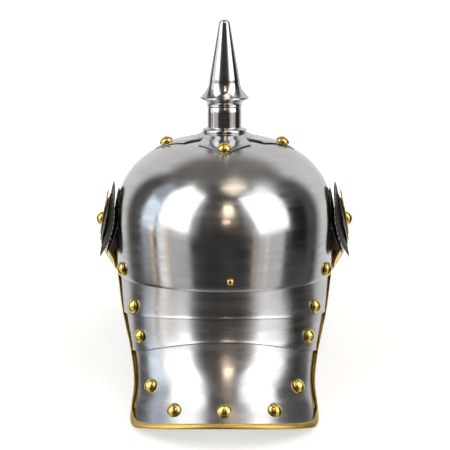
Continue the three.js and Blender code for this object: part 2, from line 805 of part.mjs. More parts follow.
// Chin strap. along runs from 0 at the rosette to 1 at the middle of the front.
function strapPlace(along) {
  const angle = Math.PI / 2 + (along * Math.PI) / 2;
  const fall = (1 - along) ** STRAP_FALL;
  const wave = Math.sin(Math.PI * THREE.MathUtils.clamp(along / STRAP_DIP_END, 0, 1));
  const dip = STRAP_DIP * wave ** 2;
  const level = STRAP_FRONT_LEVEL + (ROSETTE_LEVEL - STRAP_FRONT_LEVEL) * fall - dip;
  const climb = climbOfLevel(level);
  const leanOut = (ROSETTE_LEVEL - level) * Math.tan(rosetteLean);
  const tuckIn = SKULL_HALF_WIDTH - skullFace(Math.PI / 2, climb).x;
  const startOff = ROSETTE_STAND_OFF + strapBase + leanOut + tuckIn;
  const off = STRAP_FRONT_OFF + (startOff - STRAP_FRONT_OFF) * (1 - strapSpread(along));
  return { angle, climb, off };
}

function strapFrame(along) {
  const step = 1e-3;
  const pointAt = (where) => {
    const { angle, climb, off } = strapPlace(where);
    return onSkull(angle, climb, off);
  };
  const { angle, climb } = strapPlace(along);
  const outward = skullOutward(angle, climb);
  outward.z = Math.tan(rosetteLean) * (1 - strapSpread(along)) + outward.z * strapSpread(along);
  outward.normalize();
  const ahead = pointAt(along + step).sub(pointAt(along - step)).normalize();
  const up = outward.clone().cross(ahead).normalize();
  if (up.z < 0) {
    up.negate();
  }
  return { point: pointAt(along), outward, up };
}

const mirror = (point) => new THREE.Vector3(-point.x, point.y, point.z);

// Where each scale of one side ends, from the rosette to the clasp.
const frontRound = (Math.PI / 2) * SKULL_HALF_WIDTH;
const lastScaleEnd = 1 - (CLASP_LENGTH / 2 + CLASP_GAP) / frontRound;
const scaleEnds = Array.from(
  { length: SCALES_PER_SIDE + 1 },
  (_, i) => STRAP_END + ((lastScaleEnd - STRAP_END) * i) / SCALES_PER_SIDE,
);

// The leather band from rosette to rosette, behind the scales.
function leatherBody() {
  const half = [...scaleEnds, 1].map((along) => {
    const { point, outward, up } = strapFrame(along);
    const corner = (x, y) => point.clone().addScaledVector(up, x).addScaledVector(outward, y);
    return [
      corner(-LEATHER_HALF_WIDTH, 0),
      corner(LEATHER_HALF_WIDTH, 0),
      corner(LEATHER_HALF_WIDTH, LEATHER_THICKNESS),
      corner(-LEATHER_HALF_WIDTH, LEATHER_THICKNESS),
    ];
  });
  const other = half.slice(0, -1).map((corners) => corners.map(mirror)).reverse();
  const outline = [[0, 0], [1, 0], [1, 1], [0, 1]].map(([x, y]) => new THREE.Vector2(x, y));
  return sweptBody([...half, ...other], outline);
}

// How far a scale's lower edge bends in to the skull, once it is clear of the rosette's discs.
function scaleCurl(point, share, spread) {
  const clear = point.distanceTo(rosetteSeat);
  const bend = THREE.MathUtils.smoothstep(clear, SCALE_CURL_FROM, SCALE_CURL_TO);
  return SCALE_CURL * bend * Math.max(-2 * share - 1, 0) * (1 - spread);
}

// One side's scales: each is crowned across, lifts towards the front and steps down on the next.
function scalesBody() {
  const across = [-1, -0.5, 0.5, 1];
  const rows = [];
  for (let scale = 0; scale < SCALES_PER_SIDE; scale += 1) {
    for (const within of [SCALE_END, 1 - SCALE_END]) {
      const along = scaleEnds[scale] + (scaleEnds[scale + 1] - scaleEnds[scale]) * within;
      rows.push({ along, within });
    }
  }
  const grid = (depth) => rows.map(({ along, within }) => {
    const { point, outward, up } = strapFrame(along);
    const taper = Math.max(along, 0);
    const half = SCALE_START_HALF_WIDTH + (SCALE_FRONT_HALF_WIDTH - SCALE_START_HALF_WIDTH) * taper;
    const bulge = half * (1 - SCALE_SCALLOP * within);
    const spread = strapSpread(along);
    return across.map((share) => {
      const lift = spread * (SCALE_LIFT * (1 - within) + SCALE_CROWN * (1 - share ** 2));
      const height = LEATHER_THICKNESS + STRAP_GAP + lift + SCALE_SHEET - depth;
      const place = point.clone().addScaledVector(up, bulge * share);
      return place.addScaledVector(outward, height - scaleCurl(place, share, spread));
    });
  });
  return sheetBody(grid(0), grid(SCALE_SHEET));
}

function claspBody() {
  const { point, outward } = strapFrame(1);
  const forward = LEATHER_THICKNESS + 2 * FIT_GAP + CLASP_THICKNESS / 2;
  const clasp = new THREE.BoxGeometry(CLASP_LENGTH, 2 * CLASP_HALF_HEIGHT, CLASP_THICKNESS);
  return placed(clasp, placement(point.addScaledVector(outward, forward), outward));
}

// Finishes
const FINISHES = {
  steel: { color: 0xb4b7bb, metalness: 1, roughness: 0.28 },
  brass: { color: 0xd2a23c, metalness: 1, roughness: 0.3 },
  black: { color: 0x16181b, metalness: 0.2, roughness: 0.45 },
  silver: { color: 0xc9c9c2, metalness: 1, roughness: 0.4 },
  leather: { color: 0x1c1612, metalness: 0, roughness: 0.7 },
};

const helmet = new THREE.Group();
helmet.name = 'helmet';

function add(name, geometry, finish) {
  geometry.computeVertexNormals();
  const mesh = new THREE.Mesh(geometry, new THREE.MeshStandardMaterial(FINISHES[finish]));
  mesh.name = name;
  helmet.add(mesh);
}

// Rivets of the helmet: where each sits, its size and the sheets that it goes through.
function guardRivet(name, degrees, share, sheets, depth = 0) {
  const angle = radians(degrees);
  const outward = outwardOf(guardFace, angle, share);
  const point = guardFace(angle, share).addScaledVector(outward, RIVET_SEAT - depth);
  return { name, place: placement(point, outward), sheets, size: 'full' };
}

function skullRivet(name, angle, climb, sheets, size, raise = 0) {
  const outward = skullOutward(angle, climb);
  const point = skullFace(angle, climb).addScaledVector(outward, RIVET_SEAT + raise);
  return { name, place: placement(point, outward), sheets, size };
}

function rivetList() {
  const list = [];
  for (const [side, sign] of [['left', -1], ['right', 1]]) {
    const lameAngle = sign * LAME_RIVET_ANGLE;
    const upperDepth = plateDepth(UPPER, UPPER_LAME_RIVET_SHARE);
    const lowerDepth = plateDepth(LOWER, LOWER_LAME_RIVET_SHARE);
    const low = climbOfLevel(SIDE_RIVET_LEVEL);
    const peakLow = climbOfLevel(PEAK_RIVET_LEVEL);
    const front = Math.PI - sign * radians(PEAK_RIVET_ANGLE);
    const sideAngle = sign * radians(SIDE_RIVET_ANGLE);
    list.push(
      skullRivet(`skull_rivet_${side}`, sideAngle, low, ['skull', 'upper_lame'], 'full'),
      guardRivet(
        `upper_lame_rivet_${side}`, lameAngle, UPPER_LAME_RIVET_SHARE,
        ['upper_lame', 'lower_lame'], upperDepth,
      ),
      guardRivet(
        `lower_lame_rivet_${side}`, lameAngle, LOWER_LAME_RIVET_SHARE,
        ['lower_lame', 'tail_plate'], lowerDepth,
      ),
      skullRivet(`peak_rivet_${side}`, front, peakLow, ['skull', 'peak'], 'peak'),
    );
  }
  const middle = climbOfLevel(PEAK_RIVET_LEVEL);
  list.push(skullRivet('peak_rivet_middle', Math.PI, middle, ['skull', 'peak'], 'peak'));
  const rimRivet = climbOfLevel(RIM_RIVET_LEVEL);
  const rimAngle = radians(RIM_RIVET_ANGLE);
  list.push(skullRivet('rim_rivet', rimAngle, rimRivet, ['skull', 'upper_lame'], 'small'));
  TAIL_RIVETS.forEach(({ angle, share }, at) => {
    const depth = plateDepth(TAIL, share);
    list.push(guardRivet(`tail_rivet_${at + 1}`, angle, share, ['tail_plate'], depth));
  });
  const crossSpots = { back: [0, 1], right: [1, 0], front: [0, -1], left: [-1, 0] };
  for (const [where, [x, y]] of Object.entries(crossSpots)) {
    const spot = skullAbove(x * CROSS_RIVET_REACH, y * CROSS_RIVET_REACH);
    list.push(skullRivet(
      `cross_rivet_${where}`, spot.angle, spot.climb,
      ['skull', 'cross_plate'], 'full', FIT_GAP + SHEET,
    ));
  }
  return list;
}

const RIVET_SIZES = {
  full: { radius: RIVET_RADIUS, height: RIVET_HEIGHT, shank: SHANK_RADIUS },
  peak: { radius: PEAK_RIVET_HEAD, height: SMALL_RIVET_HEIGHT, shank: SHANK_RADIUS },
  small: { radius: SMALL_RIVET_RADIUS, height: SMALL_RIVET_HEIGHT, shank: SMALL_SHANK_RADIUS },
};

const rivets = rivetList();

function drillsFor(sheet) {
  return rivets.filter((rivet) => rivet.sheets.includes(sheet)).map((rivet) => {
    const { shank } = RIVET_SIZES[rivet.size];
    return placed(drillBody(shank, 2 * SHANK_LENGTH), rivet.place);
  });
}

const mirrored = (geometry) => {
  const flipped = geometry.clone().scale(-1, 1, 1);
  const index = Array.from(flipped.index.array);
  for (let i = 0; i < index.length; i += 3) {
    [index[i + 1], index[i + 2]] = [index[i + 2], index[i + 1]];
  }
  flipped.setIndex(index);
  return flipped;
};

const postDrill = placed(drillBody(POST_RADIUS, 2 * postLength), rosettePlace);
const postDrills = [postDrill, mirrored(joined(postDrill))];

add('skull', drilled(skullBody(), [...drillsFor('skull'), ...postDrills]), 'steel');
add('cross_plate', drilled(crossBody(), drillsFor('cross_plate')), 'steel');
add('spike_neck', neckBody(), 'steel');
add('spike', spikeBody(), 'steel');

const upperLame = plateBody(UPPER, guardColumns, [UPPER.start, 0, LOWER.start, UPPER.edge]);
const lowerLame = plateBody(LOWER, guardColumns, [LOWER.start, UPPER.edge, TAIL.start, LOWER.edge]);
add('upper_lame', drilled(upperLame, drillsFor('upper_lame')), 'steel');
add('lower_lame', drilled(lowerLame, drillsFor('lower_lame')), 'steel');
add('tail_plate', drilled(tailBody(), drillsFor('tail_plate')), 'steel');
add('neck_trim', neckTrimBody(), 'brass');
add('peak', drilled(peakBody(), drillsFor('peak')), 'steel');
add('peak_trim', peakTrimBody(), 'brass');

for (const rivet of rivets) {
  const { radius, height, shank } = RIVET_SIZES[rivet.size];
  add(rivet.name, placed(rivetBody(radius, height, shank, SHANK_LENGTH), rivet.place), 'brass');
}

const strapDrill = (geometry) => drilled(geometry, postDrills);
const scales = strapDrill(scalesBody());
add('chin_scales_right', scales, 'brass');
add('chin_scales_left', mirrored(scales), 'brass');
add('chin_strap', strapDrill(leatherBody()), 'leather');
add('chin_clasp', claspBody(), 'brass');

const rosettePieces = [
  ['cockade_inner', cockadeBody(INNER_COCKADE_RADIUS, innerDiscBase), 'black'],
  ['cockade_outer', cockadeBody(OUTER_COCKADE_RADIUS, outerDiscBase), 'black'],
  ['cockade_ring', washerBody(COCKADE_RING_RADIUS, ringBase), 'silver'],
  ['cockade_washer', washerBody(COCKADE_WASHER_RADIUS, washerBase), 'black'],
  ['cockade_plate', coverPlateBody(), 'brass'],
  ['rosette_rivet', rivetBody(RIVET_RADIUS, ROSETTE_RIVET_HEIGHT, POST_RADIUS, postLength)
    .translate(0, 0, rivetBase), 'brass'],
];
for (const [name, geometry, finish] of rosettePieces) {
  const right = placed(geometry, rosettePlace);
  add(`${name}_right`, right, finish);
  add(`${name}_left`, mirrored(joined(right)), finish);
}

// The helmet stands by itself on the two corners of its tail and on the front of its peak: the
// forward lean is the angle at which both reach the same level.
function lowestAfterLean(names, lean) {
  let lowest = Infinity;
  for (const name of names) {
    const { array } = helmet.getObjectByName(name).geometry.attributes.position;
    for (let i = 0; i < array.length; i += 3) {
      lowest = Math.min(lowest, array[i + 1] * Math.sin(lean) + array[i + 2] * Math.cos(lean));
    }
  }
  return lowest;
}

function standingLean() {
  let low = 0;
  let high = Math.PI / 4;
  for (let i = 0; i < 50; i += 1) {
    const lean = (low + high) / 2;
    if (lowestAfterLean(['neck_trim'], lean) < lowestAfterLean(['peak_trim'], lean)) {
      low = lean;
    } else {
      high = lean;
    }
  }
  return (low + high) / 2;
}

helmet.rotation.x = standingLean();
const standing = new THREE.Group();
standing.add(helmet);
standing.updateMatrixWorld(true);
const box = new THREE.Box3().setFromObject(standing, true);
const middle = box.getCenter(new THREE.Vector3());
helmet.position.set(-middle.x, -middle.y, -box.min.z);

export default standing;
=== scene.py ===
"""A spiked steel helmet with a neck guard of overlapping plates, dressed for rendering.

Lengths are millimetres in the helmet's own frame, with +Z up along the spike, +Y towards the neck
guard, -Y towards the peak and Z = 0 at the plane of the skull's rim. A Stance carries them to the
table that the helmet stands on, in metres.
"""

import logging  # noqa: E402
import math  # noqa: E402
from dataclasses import dataclass, field  # noqa: E402
from enum import Enum  # noqa: E402

import bmesh  # noqa: E402
import bpy  # noqa: E402
import numpy as np  # noqa: E402
from mathutils import Matrix, Vector  # noqa: E402

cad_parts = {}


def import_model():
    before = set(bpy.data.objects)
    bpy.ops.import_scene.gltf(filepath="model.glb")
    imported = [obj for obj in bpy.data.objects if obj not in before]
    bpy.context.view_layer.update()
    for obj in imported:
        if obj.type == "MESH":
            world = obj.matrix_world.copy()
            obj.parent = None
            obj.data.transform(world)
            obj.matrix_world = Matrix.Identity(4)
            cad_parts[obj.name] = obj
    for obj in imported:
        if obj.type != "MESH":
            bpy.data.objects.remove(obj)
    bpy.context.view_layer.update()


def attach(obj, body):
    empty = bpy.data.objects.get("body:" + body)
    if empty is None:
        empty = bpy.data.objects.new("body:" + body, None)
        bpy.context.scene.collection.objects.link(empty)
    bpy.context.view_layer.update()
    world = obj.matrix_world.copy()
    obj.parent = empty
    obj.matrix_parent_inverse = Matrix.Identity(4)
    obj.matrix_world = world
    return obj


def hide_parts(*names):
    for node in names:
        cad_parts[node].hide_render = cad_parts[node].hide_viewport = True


LOG = logging.getLogger("helmet")
MM = 0.001
Points = np.ndarray
Piece = bpy.types.Object
Tree = bpy.types.NodeTree
Node = bpy.types.Node
Wire = bpy.types.NodeSocket
Wires = bpy.types.NodeOutputs


# Where the helmet stands


@dataclass(frozen=True)
class Stance:
    """The forward lean and the place of the helmet as it stands by itself."""

    lean: float = math.radians(17.22502)
    shift: tuple[float, float, float] = (0.0, -21.276, 83.0007)

    def matrix(self) -> Matrix:
        """Returns the turn and move from the helmet's frame to the table, in metres."""
        shift = Vector(self.shift) * MM
        return Matrix.Translation(shift) @ Matrix.Rotation(self.lean, 4, "X") @ Matrix.Scale(MM, 4)

    def place(self, points: Points) -> Points:
        """Carries points to the table.

        Args:
            points: An array of points in the helmet's frame, in millimetres.

        Returns:
            The same points on the table, in metres.
        """
        turn = np.array(self.matrix())
        return points @ turn[:3, :3].T + turn[:3, 3]

    def direction(self, azimuth: float, elevation: float) -> Vector:
        """Gives a direction seen from the helmet.

        Args:
            azimuth: Degrees from straight behind the helmet, rising towards its left (-X).
            elevation: Degrees above the plane of the rim.

        Returns:
            A unit vector in the table's frame.
        """
        side, climb = math.radians(azimuth), math.radians(elevation)
        own = Vector((
            -math.sin(side) * math.cos(climb),
            math.cos(side) * math.cos(climb),
            math.sin(climb),
        ))
        return Matrix.Rotation(self.lean, 3, "X") @ own


# Forms of the sheet metal


def unit(vectors: Points) -> Points:
    """Scales vectors to length one."""
    return vectors / np.maximum(np.linalg.norm(vectors, axis=-1, keepdims=True), 1e-12)


def smooth(value: Points, start: float, end: float) -> Points:
    """Rises smoothly from 0 at start to 1 at end."""
    share = np.clip((np.asarray(value, float) - start) / (end - start), 0, 1)
    return share * share * (3 - 2 * share)


@dataclass(frozen=True)
class SheetFits:
    """Thickness of the sheet metal and the gaps between pieces."""

    sheet: float = 1.2
    fit_gap: float = 0.3
    nest_gap: float = 0.5
    strap_gap: float = 1.0
    tuck: float = 14.0

    @property
    def nest(self) -> float:
        """The step from one plate's face to the next."""
        return self.sheet + self.nest_gap


@dataclass(frozen=True)
class SkullForm:
    """The raised bowl of the helmet."""

    half_width: float = 101.3
    half_length: float = 125.0
    widest_level: float = 43.5
    apex_level: float = 127.0
    rim_half_width: float = 98.5
    rim_half_length: float = 119.5
    front_fullness: float = 2.45
    side_fullness: float = 2.0
    lower_bend: float = 1.8

    def face(self, angle: Points, climb: Points) -> Points:
        """Gives points of the outer face.

        Args:
            angle: Radians round from the back towards +X.
            climb: From -1 at the rim over 0 at the widest level to 1 at the apex.

        Returns:
            An array of points, one for each pair.
        """
        angle, climb = np.broadcast_arrays(np.asarray(angle, float), np.asarray(climb, float))
        inward = np.clip(-climb, 0, None) ** self.lower_bend
        rise = np.sin(np.clip(climb, 0, 1) * math.pi / 2)
        halves = []
        for half, rim, fullness in (
            (self.half_width, self.rim_half_width, self.front_fullness),
            (self.half_length, self.rim_half_length, self.side_fullness),
        ):
            upper = half * np.clip(1 - rise**fullness, 0, 1) ** (1 / fullness)
            halves.append(np.where(climb <= 0, half - (half - rim) * inward, upper))
        low = self.widest_level * (1 + climb)
        high = self.widest_level + (self.apex_level - self.widest_level) * rise
        level = np.where(climb <= 0, low, high)
        return np.stack((halves[0] * np.sin(angle), halves[1] * np.cos(angle), level), axis=-1)

    def outward(self, angle: Points, climb: Points) -> Points:
        """Gives the outward directions at points of the face.

        Args:
            angle: Radians round from the back towards +X.
            climb: As for face.

        Returns:
            An array of unit vectors.
        """
        angle, climb = np.broadcast_arrays(np.asarray(angle, float), np.asarray(climb, float))
        climb = np.minimum(climb, 0.997)
        step = 1e-3
        around = self.face(angle + step, climb) - self.face(angle - step, climb)
        along = self.face(angle, climb + step) - self.face(angle, climb - step)
        normal = unit(np.cross(around, along))
        middle = self.face(angle, climb)
        middle[..., 2] = np.clip(middle[..., 2] - self.widest_level, 0, None)
        facing = np.sum(normal * middle, axis=-1, keepdims=True)
        return np.where(facing < 0, -normal, normal)

    def at(self, angle: Points, climb: Points, offset: Points) -> Points:
        """Gives points at a distance outward from the face."""
        return self.face(angle, climb) + self.outward(angle, climb) * np.asarray(offset)[..., None]

    def climb_of_level(self, level: Points) -> Points:
        """Gives the climb at a level above the rim's plane."""
        level = np.asarray(level, float)
        rise = (level - self.widest_level) / (self.apex_level - self.widest_level)
        upper = 2 / math.pi * np.arcsin(np.clip(rise, 0, 1))
        return np.where(level <= self.widest_level, level / self.widest_level - 1, upper)

    def above(self, x: Points, y: Points) -> tuple[Points, Points]:
        """Finds the face straight above places in the plan.

        Args:
            x: Places across the helmet.
            y: Places along it.

        Returns:
            The angle and the climb of each point of the face.
        """
        x, y = np.broadcast_arrays(np.asarray(x, float), np.asarray(y, float))
        low, high = np.zeros_like(x), np.full_like(x, 0.99999)
        for _ in range(40):
            middle = (low + high) / 2
            wide = self.face(np.full_like(x, math.pi / 2), middle)[..., 0]
            long = self.face(np.zeros_like(x), middle)[..., 1]
            inside = (x / wide) ** 2 + (y / long) ** 2 < 1
            low, high = np.where(inside, middle, low), np.where(inside, high, middle)
        climb = (low + high) / 2
        wide = self.face(np.full_like(x, math.pi / 2), climb)[..., 0]
        long = self.face(np.zeros_like(x), climb)[..., 1]
        return np.arctan2(x / wide, y / long), climb


@dataclass(frozen=True)
class GuardForm:
    """The neck guard's face, from the skull's rim to the flared tail."""

    skull: SkullForm = SkullForm()
    fits: SheetFits = SheetFits()
    depth: float = 112.0
    tail_reach: float = 48.0
    side_reach: float = 110.0
    side_droop: float = 22.0
    crease: float = 0.4
    corner_radius: float = 15.0
    levels: tuple[float, ...] = (0, 0.216, 0.4, 0.6, 0.8, 1)
    widths: tuple[float, ...] = (1, 0.942, 0.858, 0.822, 0.839, 0.863)
    backs: tuple[float, ...] = (0, 0.02, 0.08, 0.23, 0.56, 1)
    sides: tuple[float, ...] = (0, 0.27, 0.52, 0.73, 0.9, 1)
    droops: tuple[float, ...] = (0, 0.34, 0.84, 0.88, 0.7, 0.42)
    edges: tuple[float, ...] = (0, 0.216, 0.4, 1)

    def between(self, values: tuple[float, ...], share: Points) -> Points:
        """Reads a table of sections on a smooth curve.

        Args:
            values: One value for each of the levels.
            share: Where to read it, from 0 at the rim to 1 at the tail's edge.

        Returns:
            The values there.
        """
        levels, table = np.array(self.levels, float), np.array(values, float)
        last = len(levels) - 1
        at = np.arange(last + 1)
        low, high = np.maximum(at - 1, 0), np.minimum(at + 1, last)
        slopes = (table[high] - table[low]) / (levels[high] - levels[low])
        i = np.clip(np.searchsorted(levels[1:], share, side="left"), 0, last - 1)
        span = levels[i + 1] - levels[i]
        x = (share - levels[i]) / span
        rise = 3 * x**2 - 2 * x**3
        bend = slopes[i] * (x**3 - 2 * x**2 + x) + slopes[i + 1] * (x**3 - x**2)
        return table[i] + (table[i + 1] - table[i]) * rise + bend * span

    def face(self, angle: Points, share: Points) -> Points:
        """Gives points of the outer face.

        Args:
            angle: Radians round from the back towards +X.
            share: From 0 at the rim to 1 at the tail's edge, and below 0 up the skull.

        Returns:
            An array of points.
        """
        angle, share = np.broadcast_arrays(np.asarray(angle, float), np.asarray(share, float))
        low = np.clip(share, 0, None)
        half = self.skull.rim_half_width * self.between(self.widths, low)
        back = self.skull.rim_half_length + self.tail_reach * self.between(self.backs, low)
        side = self.side_reach * self.between(self.sides, low)
        droop = self.side_droop * self.between(self.droops, low) * np.sin(angle) ** 2
        bend = 1 + self.crease * np.sin(np.clip(low, 0, 1) * math.pi / 2)
        y = side + (back - side) * np.sign(np.cos(angle)) * np.abs(np.cos(angle)) ** bend
        guard = np.stack((half * np.sin(angle), y, -self.depth * low - droop), axis=-1)
        level = np.clip(-share, 0, None) * self.depth
        bowl = self.skull.face(angle, self.skull.climb_of_level(level))
        return np.where((share < 0)[..., None], bowl, guard)

    def outward(self, angle: Points, share: Points) -> Points:
        """Gives the outward directions at points of the face."""
        step = 1e-3
        around = self.face(angle + step, share) - self.face(angle - step, share)
        along = self.face(angle, share + step) - self.face(angle, share - step)
        normal = unit(np.cross(around, along))
        outside = self.face(angle, share)
        outside[..., 2] = 0
        facing = np.sum(normal * outside, axis=-1, keepdims=True)
        return np.where(facing < 0, -normal, normal)

    def at(self, angle: Points, share: Points, offset: Points) -> Points:
        """Gives points at a distance outward from the face."""
        return self.face(angle, share) + self.outward(angle, share) * np.asarray(offset)[..., None]

    def depth_of(self, plate: int, share: Points) -> Points:
        """Tells how deep a plate's outer face lies.

        Args:
            plate: 0 for the skull, 1 and 2 for the lames and 3 for the tail plate.
            share: Where along the guard.

        Returns:
            The depths under the guard's face.
        """
        share = np.asarray(share, float)
        if plate == 0:
            return np.zeros_like(share)
        above, own = self.edges[plate - 1], self.edges[plate]
        tucked = self.depth_of(plate - 1, share) + self.fits.nest
        free = self.fits.nest * (1 - np.clip((share - above) / (own - above), 0, 1))
        return np.where(share <= above, tucked, free)

    def tail_edge(self, corner_steps: int, run_steps: int) -> tuple[Points, Points]:
        """Follows the tail's bottom edge with its two rounded corners.

        Args:
            corner_steps: Steps round each corner.
            run_steps: Steps along the bottom between the corners.

        Returns:
            The angle and the share of each step, from +X to -X.
        """
        fine = np.linspace(0, math.pi / 2, 600)
        side = self.face(np.array(math.pi / 2), np.array(1.0))
        away = np.linalg.norm(self.face(fine, np.ones_like(fine)) - side, axis=-1)
        turns = np.linspace(0, math.pi / 2, corner_steps + 1)
        reach = self.corner_radius * (1 - np.cos(turns))
        angles = np.interp(reach, away[::-1], fine[::-1])
        step = 0.01
        climbed = self.face(angles, np.ones_like(angles)) - self.face(
            angles, np.full_like(angles, 1 - step)
        )
        per_share = np.linalg.norm(climbed, axis=-1) / step
        shares = 1 - self.corner_radius * (1 - np.sin(turns)) / per_share
        run = np.linspace(angles[-1], -angles[-1], run_steps + 1)[1:-1]
        return (
            np.concatenate((angles, run, -angles[::-1])),
            np.concatenate((shares, np.ones_like(run), shares[::-1])),
        )


# Meshes


def link(name: str, points: Points, faces: list[tuple[int, ...]]) -> Piece:
    """Makes an object of points and faces with its faces turned outward.

    Args:
        name: The object's name.
        points: Its points, in metres on the table.
        faces: Corner numbers of each face.

    Returns:
        The linked object.
    """
    mesh = bpy.data.meshes.new(name)
    mesh.from_pydata(points.reshape(-1, 3).tolist(), [], faces)
    build = bmesh.new()
    build.from_mesh(mesh)
    bmesh.ops.recalc_face_normals(build, faces=build.faces)
    build.to_mesh(mesh)
    build.free()
    made = bpy.data.objects.new(name, mesh)
    bpy.context.scene.collection.objects.link(made)
    return made


def strip(upper: Points, lower: Points) -> list[tuple[int, ...]]:
    """Gives the quads between two rows of corner numbers."""
    return np.stack((upper[:-1], upper[1:], lower[1:], lower[:-1]), axis=-1).tolist()


def grid_faces(index: Points) -> list[tuple[int, ...]]:
    """Gives the quads of a grid of corner numbers."""
    return [quad for row, after in zip(index[:-1], index[1:]) for quad in strip(row, after)]


def sheet_object(
    name: str,
    outer: Points,
    inner: Points,
    wrap: bool = False,
    poles: Points | None = None,
) -> Piece:
    """Makes a closed sheet from two matching grids of points.

    Args:
        name: The object's name.
        outer: Rows of points of the outer face, on the table.
        inner: Rows of points of the inner face.
        wrap: Whether each row closes on itself.
        poles: The outer and the inner point that close the last row, if it has any.

    Returns:
        The linked object.
    """
    rows, columns = outer.shape[:2]
    index = np.arange(rows * columns).reshape(rows, columns)
    face, back = index, index + rows * columns
    if wrap:
        face, back = (np.hstack((part, part[:, :1])) for part in (face, back))
    faces = grid_faces(face) + grid_faces(back) + strip(face[0], back[0])
    points = [outer.reshape(-1, 3), inner.reshape(-1, 3)]
    if poles is None:
        faces += strip(face[-1], back[-1])
    else:
        points.append(poles)
        for row, pole in ((face[-1], 2 * rows * columns), (back[-1], 2 * rows * columns + 1)):
            faces += [(int(a), int(b), pole) for a, b in zip(row[:-1], row[1:])]
    if not wrap:
        faces += strip(face[:, 0], back[:, 0]) + strip(face[:, -1], back[:, -1])
    return link(name, np.concatenate(points), faces)


def swept_object(name: str, sections: Points) -> Piece:
    """Makes a closed body from a section carried along a path.

    Args:
        name: The object's name.
        sections: The section's corners at each step, on the table.

    Returns:
        The linked object.
    """
    steps, corners = sections.shape[:2]
    index = np.arange(steps * corners).reshape(steps, corners)
    around = np.hstack((index, index[:, :1]))
    faces = grid_faces(around) + [tuple(index[0].tolist()), tuple(index[-1].tolist())]
    return link(name, sections, faces)


def turned_points(profile: Points, sides: int) -> Points:
    """Turns a profile about the Z axis.

    Args:
        profile: Pairs of radius and height.
        sides: Steps round the axis.

    Returns:
        A grid of points: one row for each pair, one column for each step.
    """
    angle = np.linspace(0, 2 * math.pi, sides, endpoint=False)
    radius, height = profile[:, 0, None], profile[:, 1, None]
    return np.stack((
        radius * np.cos(angle),
        radius * np.sin(angle),
        np.broadcast_to(height, (len(profile), sides)),
    ), axis=-1)


def turned_object(name: str, profile: Points, sides: int, carry: "Carry") -> Piece:
    """Makes a turned piece that starts and ends on its axis.

    Args:
        name: The object's name.
        profile: Pairs of radius and height, without the two ends on the axis.
        sides: Steps round the axis.
        carry: Takes points from the turned piece's own frame to the table.

    Returns:
        The linked object.
    """
    ends = np.array([[0, 0, profile[0, 1]], [0, 0, profile[-1, 1]]], float)
    grid = turned_points(profile, sides)
    rows = len(profile)
    index = np.arange(rows * sides).reshape(rows, sides)
    around = np.hstack((index, index[:, :1]))
    faces = grid_faces(around)
    for row, pole in ((around[0], rows * sides), (around[-1], rows * sides + 1)):
        faces += [(int(a), int(b), pole) for a, b in zip(row[:-1], row[1:])]
    points = np.concatenate((grid.reshape(-1, 3), ends))
    return link(name, carry(points), faces)


class Carry:
    """Takes points from a piece's own frame to the table."""

    def __init__(
        self,
        stance: Stance,
        origin: Points = (0, 0, 0),
        outward: Points = (0, 0, 1),
        mirrored: bool = False,
    ) -> None:
        """Sets the frame.

        Args:
            stance: How the helmet stands.
            origin: The frame's origin in the helmet's frame.
            outward: Where its Z axis points.
            mirrored: Whether the piece is the mirror image, at the other side.
        """
        self.stance, self.origin, self.mirrored = stance, np.asarray(origin, float), mirrored
        turn = Vector((0, 0, 1)).rotation_difference(Vector(np.asarray(outward, float)))
        self.turn = np.array(turn.to_matrix())

    def __call__(self, points: Points) -> Points:
        """Carries an array of points."""
        placed = points @ self.turn.T + self.origin
        if self.mirrored:
            placed = placed * np.array([-1, 1, 1])
        return self.stance.place(placed)


def rounded(piece: Piece, width: float, sharp: float = 40.0) -> Piece:
    """Rounds a piece's sharp edges and smooths its shading.

    Args:
        piece: The object.
        width: Width of the rounding, in millimetres, or 0 for none.
        sharp: Edges that turn by more degrees than this are rounded.

    Returns:
        The same object.
    """
    if width:
        bevel = piece.modifiers.new("rounded edges", "BEVEL")
        bevel.width, bevel.segments, bevel.limit_method = width * MM, 2, "ANGLE"
        bevel.angle_limit = math.radians(sharp)
        bevel.use_clamp_overlap = True
        graph = bpy.context.evaluated_depsgraph_get()
        worked = bpy.data.meshes.new_from_object(piece.evaluated_get(graph))
        piece.modifiers.clear()
        old, piece.data = piece.data, worked
        bpy.data.meshes.remove(old)
    mesh = piece.data
    mesh.polygons.foreach_set("use_smooth", [True] * len(mesh.polygons))
    mesh.set_sharp_from_angle(angle=math.radians(sharp))
    return piece


# Shader effects


def node(
    tree: Tree,
    kind: str,
    inputs: dict[str | int, object] | None = None,
    **settings: object,
) -> Node:
    """Adds a node and fills or joins its inputs.

    Args:
        tree: The tree that gets the node.
        kind: The node's type without its ShaderNode start.
        inputs: For each input, a value or the output that feeds it.
        settings: Properties to set on the node.

    Returns:
        The new node.
    """
    made = tree.nodes.new(kind if kind.startswith("Node") else "ShaderNode" + kind)
    for key, value in settings.items():
        setattr(made, key, value)
    for key, value in (inputs or {}).items():
        if isinstance(value, Wire):
            tree.links.new(value, made.inputs[key])
        else:
            made.inputs[key].default_value = value
    return made


def calc(tree: Tree, operation: str, *parts: object) -> Node:
    """Adds a node that works out one number from up to three."""
    return node(tree, "Math", dict(enumerate(parts)), operation=operation)


class Socket(Enum):
    """Kinds of value that an effect takes or gives."""

    VALUE = "NodeSocketFloat"
    VECTOR = "NodeSocketVector"


